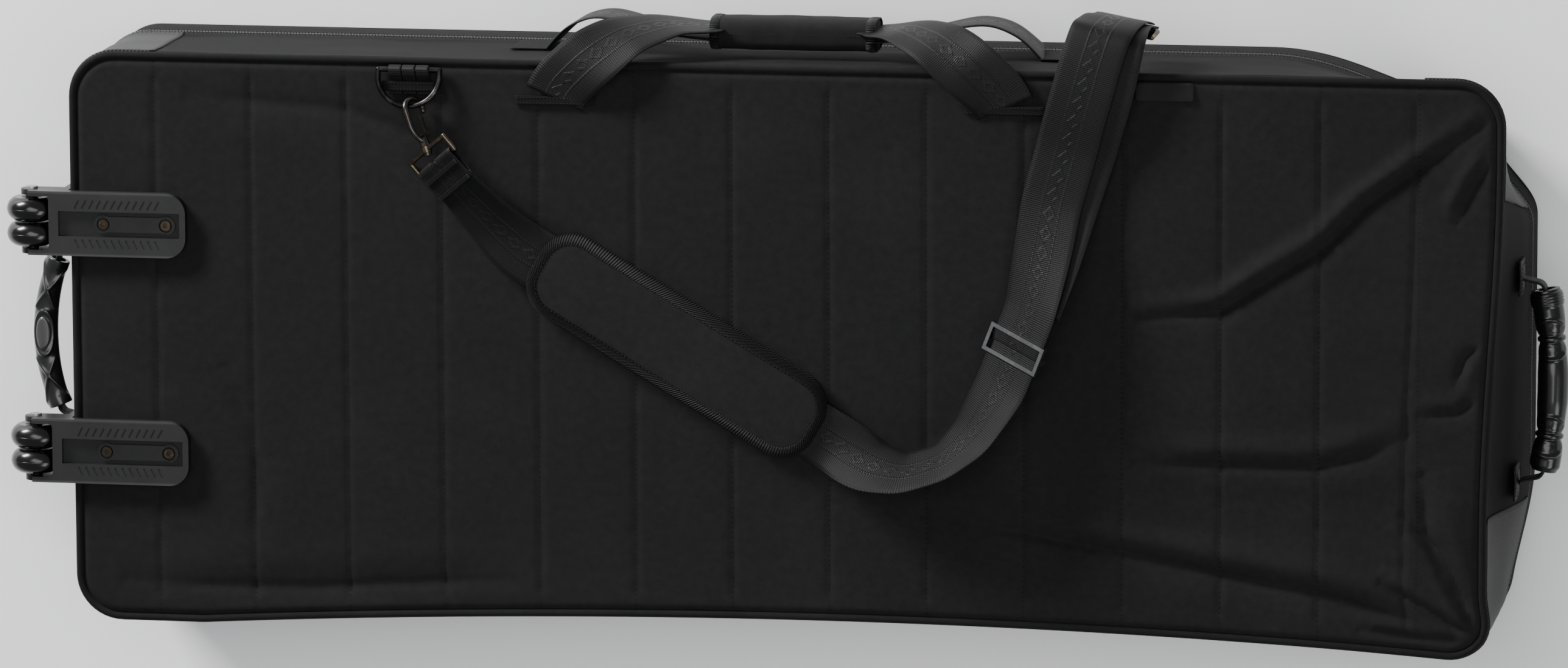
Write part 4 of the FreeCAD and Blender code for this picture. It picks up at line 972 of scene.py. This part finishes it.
def straps():
    ribbon("strap_main", STRAP, WEB_WIDTH, 0.0018, WEB, "shell", soft=9, cup=0.0003,
           stands_for=("shoulder_strap",), slot="webbing")
    ribbon("strap_lower_run", RETURN, WEB_WIDTH, 0.0018, WEB, "shell", soft=14, start=0.011,
           stands_for=("strap_return",), slot="webbing")
    web_loop("strap_fold_left", EYE_LEFT, 26, 26)
    web_loop("strap_fold_right", EYE_RIGHT, 12, 3)
    eye_stitches("strap_thread_left", EYE_LEFT, (12.0, 14.5, 18.0, 20.5), 2.2)
    for i, (along, lift) in enumerate(((8.5, 3.4), (24.5, 2.9))):
        stations = []
        run_of_strap = EYE_LEFT.to_3x3() @ Vector((1, 0, 0))
        for y in (-24.0, -12.0, 0.0, 12.0, 24.0):
            p = EYE_LEFT @ Vector(((EYE_H + along) * MM, y * MM, lift * MM))
            stations.append((p.x / MM, p.y / MM, p.z / MM, *run_of_strap))
        ribbon("strap_welt_%d" % (i + 1), stations, 0.0042, 0.0024, WEB_PLAIN, "shell", soft=1,
               slot="webbing")
    run = Vector((math.cos(math.radians(69)), math.sin(math.radians(69)), 0))
    level = Vector((0, 0, 1)).cross(run)
    across = Matrix.Rotation(math.radians(-28), 3, run) @ level
    normal = run.cross(across)
    middle = Vector((0.198, 0.0135, 0.1895))
    path = [(13, -4.4), (6, -5.4)]
    path += [(-3.2 * math.sin(math.radians(a)), -2.6 - 3.1 * math.cos(math.radians(a)))
             for a in range(10, 171, 20)]
    path += [(5, 1.2), (10, 1.9)]
    stations = []
    for along, lift in path:
        p = middle + run * (along * MM) + normal * (lift * MM)
        stations.append((p.x / MM, p.y / MM, p.z / MM, across.x, across.y, across.z))
    ribbon("strap_glide_fold", stations, 0.049, 0.0016, WEB, "glide", soft=2, step=0.001, slot="webbing")


def stadium(half_x, half_y, corner, count):
    """Points round a rounded rectangle centred on the origin, evenly spaced."""
    a, b = half_x - corner, half_y - corner
    dense = []
    for cx, cy, start in ((a, -b, -90), (a, b, 0), (-a, b, 90), (-a, -b, 180)):
        for i in range(31):
            t = math.radians(start + 90 * i / 30)
            dense.append((cx + corner * math.cos(t), cy + corner * math.sin(t)))
    dense = np.array(dense + dense[:1])
    at = run_along(dense)
    s = np.linspace(0, at[-1], count, endpoint=False)
    return np.column_stack([np.interp(s, at, dense[:, i]) for i in range(2)])


def simulate(obj, pins, pressure, frames=18, stiff=18.0, limit=0.004):
    """Lets the cloth settle under inner pressure with the pinned points held, then applies the shape."""
    group_ = obj.vertex_groups.new(name="pins")
    for index, weight in pins:
        group_.add([index], weight, "REPLACE")
    rest = np.array([v.co for v in obj.data.vertices])
    cloth = obj.modifiers.new("settle", "CLOTH")
    cloth.settings.quality = 5
    cloth.settings.tension_stiffness = stiff
    cloth.settings.compression_stiffness = stiff
    cloth.settings.shear_stiffness = 8
    cloth.settings.bending_stiffness = 0.6
    cloth.settings.use_pressure = True
    cloth.settings.uniform_pressure_force = pressure
    cloth.settings.vertex_group_mass = "pins"
    cloth.settings.pin_stiffness = 1.0
    cloth.settings.effector_weights.gravity = 0
    cloth.collision_settings.use_collision = False
    cloth.point_cache.frame_start, cloth.point_cache.frame_end = 1, frames
    for f in range(1, frames + 1):
        bpy.context.scene.frame_set(f)
    settled = obj.evaluated_get(bpy.context.evaluated_depsgraph_get())
    moved = np.array([v.co for v in settled.data.vertices]) - rest
    obj.modifiers.remove(cloth)
    reach = np.linalg.norm(moved, axis=1)
    moved *= np.minimum(1, limit / np.maximum(reach, 1e-9))[:, None]
    obj.data.vertices.foreach_set("co", (rest + moved).astype(np.float32).ravel())
    obj.data.update()
    bpy.context.scene.frame_set(1)


def shoulder_pad():
    half_x, half_y, corner = 0.136, 0.0375, 0.030
    turn = Matrix.Translation((-0.085, 0.007, 0.1783)) @ Matrix.Rotation(math.radians(-30.6), 4, "Z")

    def dome(inner):
        return np.sqrt(np.clip(1 - (1 - np.clip(inner / 0.016, 0, 1)) ** 2, 0, 1))

    def high(spots, inner):
        flat = np.column_stack([spots, np.zeros(len(spots))])
        slack = 0.35 * ripple(flat, 30.0, 3.0) + 0.2 * ripple(flat, 80.0, 1.0)
        return (1.9 + (3.7 + slack) * dome(inner)) * MM

    def low(spots, inner):
        return -(2.4 + 3.4 * dome(inner)) * MM

    pad = cushion("pad_cushion", half_x - 0.001, half_y - 0.001, corner - 0.001, (91, 27), high, low,
                  lambda points: [turn @ Vector(p) for p in points], PAD_FABRIC)
    back = turn.inverted()
    spots = np.array([(back @ v.co)[:2] for v in pad.data.vertices])
    free = smooth((edge_distance(spots, half_x, half_y, corner) - 0.009) / 0.012)
    simulate(pad, [(i, float(1 - w)) for i, w in enumerate(free)], 3.0, frames=14, limit=0.0016)
    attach(pad, "pad")
    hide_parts("shoulder_pad")
    rows, uv = [], []
    profile = [(8.4, 4.5), (8.4, 5.4), (4.0, 4.75), (0.6, 3.2), (-0.3, 1.6), (-0.3, -1.6), (0.6, -3.4),
               (4.0, -4.9), (8.4, -5.3), (8.4, -4.3)]
    ribs, steps = 270, 6
    turns = np.arange(ribs * steps) / steps
    swell = np.cos(2 * math.pi * turns)

    def inside(by, count):
        return stadium(half_x - by, half_y - by, corner - by, count)

    for k, (inset, z) in enumerate(profile):
        xy = inside(inset * MM, ribs * steps)
        out = inside((inset - 0.2) * MM, ribs * steps)
        xy = xy + (out - xy) * swell[:, None]
        lift = z + math.copysign(0.2, z) * swell * min(1.0, abs(z) / 4)
        rows.append([turn @ Vector((x, y, h * MM)) for (x, y), h in zip(xy, lift)])
        uv.append([(PAD_RIB * (t + 0.25), 0.003 * k) for t in turns])
    laid("pad_binding", rows, uv, BINDING, "pad", ring=True, loop=True, slot="pad_fabric")
    xy = inside(0.0076, 400)
    stitches("pad_thread", [([turn @ Vector((x, y, 0.0058)) for x, y in xy], [UP] * 400)], "pad",
             pitch=0.0034, slot="pad_fabric")


def ring_tabs():
    for name, x, first in (("left", -0.308, True), ("right", 0.268, False)):
        y, z = 0.231, 0.17655
        for k in (-1, 0, 1):
            mid = x + k * 0.0115
            path = [(y - 0.021, 0.1727), (y - 0.008, 0.1729)]
            path += [(y + 0.00335 * math.sin(math.radians(a)), z - 0.00335 * math.cos(math.radians(a)))
                     for a in range(-20, 181, 20)]
            path += [(y - 0.004, z + 0.0022), (y - 0.010, 0.1742), (y - 0.021, 0.1740)]
            stations = [(mid / MM, py / MM, pz / MM, 1, 0, 0) for py, pz in path]
            ribbon("ring_tab_%s_%d" % (name, k + 2), stations, 0.0105, 0.0014, WEB_PLAIN, "shell", soft=1,
                   step=0.0008, stands_for=("ring_tabs",) if first and k == -1 else (), slot="webbing")
        stations = [(x / MM - 23, y / MM - 14, 175.6, 0, 1, 0), (x / MM, y / MM - 14, 175.9, 0, 1, 0),
                    (x / MM + 23, y / MM - 14, 175.6, 0, 1, 0)]
        ribbon("ring_strip_" + name, stations, 0.0085, 0.0012, TAPE, "shell", soft=1, slot="webbing")
        runs = []
        for dy in (-0.0115, -0.0165):
            line = [(x + t, y + dy, 0.17655) for t in np.linspace(-0.022, 0.022, 30)]
            runs.append((line, [UP] * 30))
        stitches("ring_thread_" + name, runs, "shell", pitch=0.0028, length=0.0021, slot="webbing")


def ease(value, low, high):
    """0 below low, 1 above high, smooth between, for one number."""
    t = min(1.0, max(0.0, (value - low) / (high - low)))
    return t * t * (3 - 2 * t)


# ---- Carry handle --------------------------------------------------------------------------------------
BANDS = {
    "back_left": [(-187.0, 209.3, 173.5, -1, 0, 0), (-187.0, 215, 173.9, -1, 0, 0),
                  (-158.0, 243.0, 180.5, -0.665, 0.730, -0.156),
                  (-129.0, 263.0, 168.0, -0.653, 0.444, -0.614),
                  (-101.0, 268.0, 138.0, -0.648, 0.208, -0.733), (-65.6, 263.0, 112.0, 0, 0, -1),
                  (-58, 263.0, 112.0, 0, 0, -1)],
    "front_left": [(-205.0, 242.0, 82.0, 0, 0, -1), (-186.0, 262.0, 88.0, 0.185, 0.122, -0.975),
                   (-161.0, 271.0, 94.0, 0.225, 0.016, -0.974), (-130.0, 266.0, 101.0, 0.202, -0.044, -0.978),
                   (-101.0, 258.0, 107.0, 0.164, -0.028, -0.986), (-65.6, 255.0, 112.0, 0, 0, -1),
                   (-58, 255.0, 112.0, 0, 0, -1)],
    "back_right": [(187.0, 209.3, 173.5, -1, 0, 0), (187.0, 215, 173.9, -1, 0, 0),
                   (158.0, 243.0, 180.5, -0.665, -0.730, 0.156), (129.0, 263.0, 168.0, -0.653, -0.444, 0.614),
                   (101.0, 268.0, 138.0, -0.695, -0.208, 0.688), (73.6, 263.0, 112.0, 0, 0, 1),
                   (66, 263.0, 112.0, 0, 0, 1)],
    "front_right": [(205.0, 242.0, 82.0, 0, 0, 1), (186.0, 262.0, 88.0, 0.185, -0.122, 0.975),
                    (161.0, 271.0, 94.0, 0.225, -0.016, 0.974), (130.0, 266.0, 101.0, 0.202, 0.044, 0.978),
                    (101.0, 258.0, 107.0, 0.185, 0.036, 0.982), (73.6, 255.0, 112.0, 0, 0, 1),
                    (66, 255.0, 112.0, 0, 0, 1)],
}


def carry_handle():
    for key, stations in BANDS.items():
        node = "handle_band_" + key.split("_")[0]
        obj, points = ribbon("handle_" + key, stations, WEB_WIDTH, 0.0022, WEB, soft=18, slot="webbing",
                             stands_for=(node,) if key.endswith("left") else ())
        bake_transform(obj)
    welt_runs = []
    for i, x in enumerate((-0.187, 0.187)):
        stations = [(x / MM - 33.5, 207.5, 173.2, 0, 1, 0), (x / MM, 207.5, 173.9, 0, 1, 0),
                    (x / MM + 33.5, 207.5, 173.2, 0, 1, 0)]
        ribbon("handle_welt_%d" % (i + 1), stations, 0.0075, 0.0018, TAPE, "shell", soft=1,
               stands_for=("handle_bases",) if i == 0 else (), slot="panel_fabric")
        for dy in (-0.0022, 0.0022):
            welt_runs.append(([(x + t, 0.2075 + dy, 0.1748) for t in np.linspace(-0.032, 0.032, 40)],
                              [UP] * 40))
        foot = x + math.copysign(0.034, x)
        stations = [(foot / MM, 240.4, z, 1, 0, 0) for z in (56, 70, 90, 108)]
        ribbon("handle_foot_%d" % (i + 1), stations, 0.032, 0.0009, TAPE, "shell", soft=1,
               slot="panel_fabric")
    stitches("handle_thread", welt_runs, "shell", pitch=0.0028, length=0.0021, slot="webbing")
    padded_wrap()


def wrap_row(x, grow, count=48):
    """One row round the wrap's squarish section."""
    row, uv = [], []
    for k in range(count):
        a = 2 * math.pi * k / count
        ca, sa = math.cos(a), math.sin(a)
        y = 0.259 + math.copysign(abs(ca) ** 0.62, ca) * 0.0130 * grow
        z = 0.112 + math.copysign(abs(sa) ** 0.62, sa) * 0.0198 * grow
        row.append((0.004 + x, y + 0.0004 * noise.noise(Vector((x, y, z)) * 60),
                    z + 0.0005 * noise.noise(Vector((x, y, z)) * 45)))
        uv.append((x + 1, a * 0.017))
    return row, uv


def padded_wrap():
    rows, uvs = [], []
    for i in range(60):
        t = i / 59
        puff = 1 + 0.045 * math.sin(math.pi * t) ** 0.6 - 0.06 * ease(abs(t - 0.5) * 2, 0.93, 1.0)
        row, uv = wrap_row((t - 0.5) * 0.136, puff)
        rows.append(row)
        uvs.append(uv)
    wrap = laid("wrap_cushion", rows, uvs, PAD_FABRIC, ring=True, caps=True)
    held = [1.0 if abs(v.co.x - 0.004) > 0.057 else 0.25 for v in wrap.data.vertices]
    simulate(wrap, list(enumerate(held)), 2.0, frames=12, limit=0.0012)
    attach(wrap, "carry_handle")
    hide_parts("handle_wrap", "handle_core")
    for name, at in (("left", -0.065), ("right", 0.065)):
        profile = [(-0.0042, 0.985), (-0.0036, 1.05), (0.0, 1.075), (0.0036, 1.05), (0.0042, 0.985)]
        rows = [wrap_row(at + dx, grow)[0] for dx, grow in profile]
        uv = [[(2 * math.pi * k / 48 * 0.017, dx) for k in range(48)] for dx, _ in profile]
        laid("wrap_binding_" + name, rows, uv, BINDING, "carry_handle", ring=True, thick=0.0006,
             slot="pad_fabric")
    lap = [(x, 0.2597, 0.1325) for x in np.linspace(-0.058, 0.066, 60)]
    stitches("wrap_thread", [(lap, [UP] * 60)], "carry_handle", pitch=0.0032, slot="pad_fabric")


# ---- End grips -----------------------------------------------------------------------------------------
def grip_path(side, y, z, length, count):
    """The grip's bowed centre line, from +Y to -Y, and the run along it from its middle."""
    peak, bow = (0.634, 0.012) if side < 0 else (0.629, 0.007)
    points, runs = [], []
    for i in range(count):
        t = 1 - 2 * i / (count - 1)
        points.append((side * (peak - bow * t * t), y + t * length / 2, z))
        runs.append(t * length / 2)
    return np.array(points), np.array(runs)


def grip_surface(name, side, y, z, length, radius_at, material, body, node, count=170, around=72):
    """A grip's moulding along its bowed path, with a hollow at each end for the web."""
    path, runs = grip_path(side, y, z, length, count)
    ahead = np.gradient(path, axis=0)
    ahead /= np.linalg.norm(ahead, axis=1)[:, None]
    up = np.array([0.0, 0.0, 1.0])
    turns = [2 * math.pi * k / around for k in range(around)]

    def ring_at(i, radius, shift=0.0):
        out = np.cross(up, ahead[i])
        out *= np.sign(out[0] * side)
        centre = path[i] + ahead[i] * shift
        return [centre + (out * math.cos(a) + up * math.sin(a)) * (radius(a) if callable(radius) else radius)
                for a in turns]

    rows = [ring_at(0, 0.0062, 0.012), ring_at(0, 0.0062)]
    for i, run in enumerate(runs):
        rows.append(ring_at(i, lambda a: radius_at(run, math.remainder(a - math.pi / 2, 2 * math.pi))))
    rows += [ring_at(-1, 0.0062), ring_at(-1, 0.0062, -0.012)]
    marks = [runs[0] - 0.02, runs[0] - 0.005] + list(runs) + [runs[-1] + 0.005, runs[-1] + 0.02]
    uv = [[(run, a * 0.012) for a in turns] for run in marks]
    return laid(name, rows, uv, material, body, ring=True, caps=True, stands_for=(node,), slot="grip_rubber")


def left_grip_radius(run, arc):
    """Ribs that cross above and below an oval medallion on the upper face."""
    r = 0.0090 + 0.0012 * math.cos(run / 0.062 * math.pi * 0.5) ** 2
    across = arc * 0.0105
    oval = math.hypot(run / 0.0185, across / 0.0092)
    if abs(arc) < 1.9:
        r += 0.0011 * math.exp(-((oval - 1.0) / 0.10) ** 2)
    away = abs(run) - 0.018
    if oval > 1.05 and away > 0:
        fade = ease(away, 0.0, 0.004) * (1 - ease(abs(run), 0.056, 0.061))
        for slope in (0.62, -0.62):
            near = math.remainder(across - slope * (away - 0.018), 2 * math.pi * 0.0105)
            r += 0.0012 * math.exp(-(near / 0.0013) ** 2) * fade
            r += 0.0005 * math.exp(-(near / 0.0040) ** 2) * fade
    r += 0.0010 * ease(abs(run), 0.050, 0.060)
    return min(r, 0.0113)


def right_grip_radius(run, arc):
    """A plump grip with two ringed waists, a curved lip each side of them, and a ribbed top flange."""
    away = abs(run + 0.0054)
    r = 0.0126 - 0.0010 * ease(away, 0.010, 0.030) + 0.0010 * ease(away, 0.040, 0.058)
    for waist in (0.0347, -0.0455):
        d = run - waist
        r -= 0.0026 * math.exp(-(d / 0.0050) ** 2)
        r += 0.0026 * math.exp(-(d / 0.0021) ** 4)
        lip = 0.0165 - 0.0045 * min(1.0, (arc / 1.1) ** 2)
        front = 1 - ease(abs(arc), 1.0, 1.5)
        r += 0.0010 * math.exp(-((abs(d) - lip) / 0.0014) ** 2) * front
        r -= 0.0007 * ease(abs(d), 0.004, 0.007) * (1 - ease(abs(d), lip - 0.003, lip)) * front
    ridges = 0.0003 * math.cos(run / 0.0012 * math.pi)
    r += 0.0012 * ease(run, 0.060, 0.064) + ridges * ease(run, 0.062, 0.064)
    r -= 0.0022 * ease(abs(run), 0.070, 0.0755)
    return min(r, 0.0142)


def grips():
    grip_surface("grip_left_moulding", -1, -0.006, 0.118, 0.124, left_grip_radius, GRIP_SATIN, "left_grip",
                 "grip_left")
    grip_surface("grip_right_moulding", 1, -0.016, 0.100, 0.150, right_grip_radius, GRIP_GLOSS, "right_grip",
                 "grip_right", count=320)
    rows, uv = [], []
    for grow, lift in ((1.0, 0.0100), (1.0, 0.0112), (0.8, 0.01135), (0.0, 0.01140)):
        row, marks = [], []
        for k in range(48):
            a = 2 * math.pi * k / 48
            run, arc = 0.0140 * math.cos(a) * grow, 0.0062 * math.sin(a) / 0.0105 * grow
            row.append((-0.634 - math.sin(arc) * lift, -0.006 + run, 0.118 + math.cos(arc) * lift))
            marks.append((run, arc))
        rows.append(row)
        uv.append(marks)
    laid("grip_left_medallion", rows, uv, BADGE, "left_grip", ring=True, caps=True, slot="grip_rubber")
    for side, body, y, z, length, name in ((-1, "left_grip", -6, 118, 124, "left"),
                                           (1, "right_grip", -16, 100, 150, "right")):
        first = True
        for s in (1, -1):
            end = "%s_%s" % (name, "top" if s > 0 else "low")
            stations = [(side * x, y + s * (length / 2 + past), z, 0, 0, 1)
                        for x, past in ((622, -9), (622, 2), (619, 5.5), (603.6, 9), (602.6, 11))]
            core, _ = ribbon("grip_core_" + end, stations, 0.018, 0.0026, WEB_PLAIN, soft=3, step=0.0012,
                             slot="webbing", stands_for=("grip_web_" + name,) if first else ())
            foot, held = y + s * (length / 2 + 10), y + s * (length / 2 + 1)
            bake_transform(core)
            wall_x = slump([(side * 0.5978, foot * MM, z * MM)])[0][0] / MM
            stations = [(wall_x + side * 1.4, foot - 14, z, 0, 0, 1), (wall_x + side * 2.2, foot, z, 0, 0, 1),
                        (wall_x + side * 1.4, foot + 14, z, 0, 0, 1)]
            ribbon("grip_anchor_" + end, stations, 0.034, 0.0024, WEB_PLAIN, "shell", soft=2,
                   stands_for=("grip_anchors",) if first and side < 0 else (), slot="panel_fabric")
            corners = [(foot - 11, z - 14), (foot + 11, z - 14), (foot + 11, z + 14), (foot - 11, z + 14),
                       (foot - 11, z - 14), (foot + 11, z + 14)]
            line = [((wall_x + side * 3.5) * MM, a * MM, b * MM) for a, b in corners]
            dense, _ = resample(np.array(line), 0.001)
            stitches("grip_thread_" + end, [(dense, [(side, 0, 0)] * len(dense))], "shell", pitch=0.003,
                     slot="panel_fabric")
            first = False


def label():
    def lift(spots):
        return 0.1724 + 0.0011 * smooth((0.004 - spots[:, 1]) / 0.012) + 0.0004 * np.sin(spots[:, 0] * 160)

    cushion("size_label", 0.0245, 0.0078, 0.003, (25, 9), lambda spots, inner: lift(spots),
            lambda spots, inner: lift(spots) - 0.0004,
            lambda points: points + np.array([0.3175, 0.2255, 0]), LABEL, "shell", stands_for=("label_flag",),
            slot="label")
    line = [(0.3175 + t, 0.2318, 0.1731) for t in np.linspace(-0.021, 0.021, 30)]
    stitches("label_thread", [(line, [UP] * 30)], "shell", pitch=0.0028, length=0.002, slot="label")


# ---- Finishes for the pieces that CAD shows ------------------------------------------------------------
def cad_finishes():
    finish = {
        BRACKET: ["wheel_bracket_upper", "wheel_bracket_lower"],
        STIFFENER: ["backing_plates"],
        BRONZE: ["bracket_bolts"],
        STEEL: ["bracket_nuts", "wheel_axles"],
        RING: ["d_ring_left", "d_ring_right"],
        GUNMETAL: ["snap_hook_left", "snap_hook_right", "hook_gate_left", "hook_gate_right"],
        GOLD: ["strap_eye_left", "strap_eye_right"],
        CHROME: ["strap_glide"],
        TREAD: ["tyre_" + w for w in ("upper_outer", "upper_inner", "lower_outer", "lower_inner")],
        HUB: ["hub_" + w for w in ("upper_outer", "upper_inner", "lower_outer", "lower_inner")],
        COIL: ["zip_slider_left", "zip_slider_right", "zip_pull_left", "zip_pull_right"],
    }
    for material, names in finish.items():
        for name in names:
            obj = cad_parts[name]
            obj.data.materials.clear()
            obj.data.materials.append(material)


def wheel_rings():
    """The moulding's parting line: a fine raised ring round the middle of each tread."""
    for name, y in (("upper_outer", 0.10635), ("upper_inner", 0.08565), ("lower_outer", -0.10635),
                    ("lower_inner", -0.08565)):
        bm = bmesh.new()
        ridge = ((-0.0008, 0.02075), (-0.0004, 0.02108), (0.0004, 0.02108), (0.0008, 0.02075))
        section = [bm.verts.new((-0.632 + r, y + dy, 0.165)) for dy, r in ridge]
        edges = [bm.edges.new(pair) for pair in zip(section, section[1:] + section[:1])]
        bmesh.ops.spin(bm, geom=section + edges, cent=(-0.632, y, 0.165), axis=(0, 1, 0), angle=2 * math.pi,
                       steps=96, use_merge=True)
        finish(bm, "tread_ring_" + name, TREAD, "wheel_" + name, slot="tread")


# ---- Camera, light and floor ---------------------------------------------------------------------------
def stage():
    scene = bpy.context.scene
    camera = bpy.data.objects.new("camera", bpy.data.cameras.new("camera"))
    scene.collection.objects.link(camera)
    camera.location = (1.3093, 1.3379, 7.600)
    camera.rotation_euler = (-0.1739, 0.1734, -0.0036)
    camera.data.lens = 214.2
    camera.data.sensor_width = 36.0
    camera.data.clip_start, camera.data.clip_end = 0.1, 60.0
    scene.camera = camera

    floor_material, n, shader = new_material("StudioFloor")
    at = n.add("ShaderNodeTexCoord").outputs["Object"]
    n.put(shader.inputs["Base Color"], n.mix(n.noise(at, 3.0, 2.0), grey(0.86), grey(0.90)))
    shader.inputs["Roughness"].default_value = 0.75
    bm = bmesh.new()
    bmesh.ops.create_grid(bm, x_segments=2, y_segments=2, size=9.0)
    mesh = bpy.data.meshes.new("floor")
    bm.to_mesh(mesh)
    bm.free()
    mesh.materials.append(floor_material)
    floor = bpy.data.objects.new("floor", mesh)
    scene.collection.objects.link(floor)

    world = bpy.data.worlds.new("studio")
    world.use_nodes = True
    world.node_tree.nodes["Background"].inputs[0].default_value = (0.93, 0.95, 1.0, 1)
    world.node_tree.nodes["Background"].inputs[1].default_value = 0.32
    scene.world = world

    def area(name, location, target, size, power):
        data = bpy.data.lights.new(name, "AREA")
        data.shape = "RECTANGLE"
        data.size, data.size_y = size
        data.energy = power
        light = bpy.data.objects.new(name, data)
        light.location = location
        light.rotation_mode = "QUATERNION"
        light.rotation_quaternion = (Vector(target) - Vector(location)).to_track_quat("-Z", "Y")
        scene.collection.objects.link(light)

    area("key", (-2.6, 2.6, 1.25), (0.15, 0, 0.16), (1.3, 0.7), 330)
    area("fill", (2.8, -2.0, 2.6), (0, 0, 0.1), (2.2, 1.6), 55)
    area("overhead", (0.3, 0.5, 3.4), (0, 0, 0.1), (3.0, 1.6), 60)


back_panel()
shell_skin()
wear_patches()
front_half()
shell_inside()
zip_parts()
straps()
shoulder_pad()
ring_tabs()
carry_handle()
grips()
label()
cad_finishes()
wheel_rings()
stage()
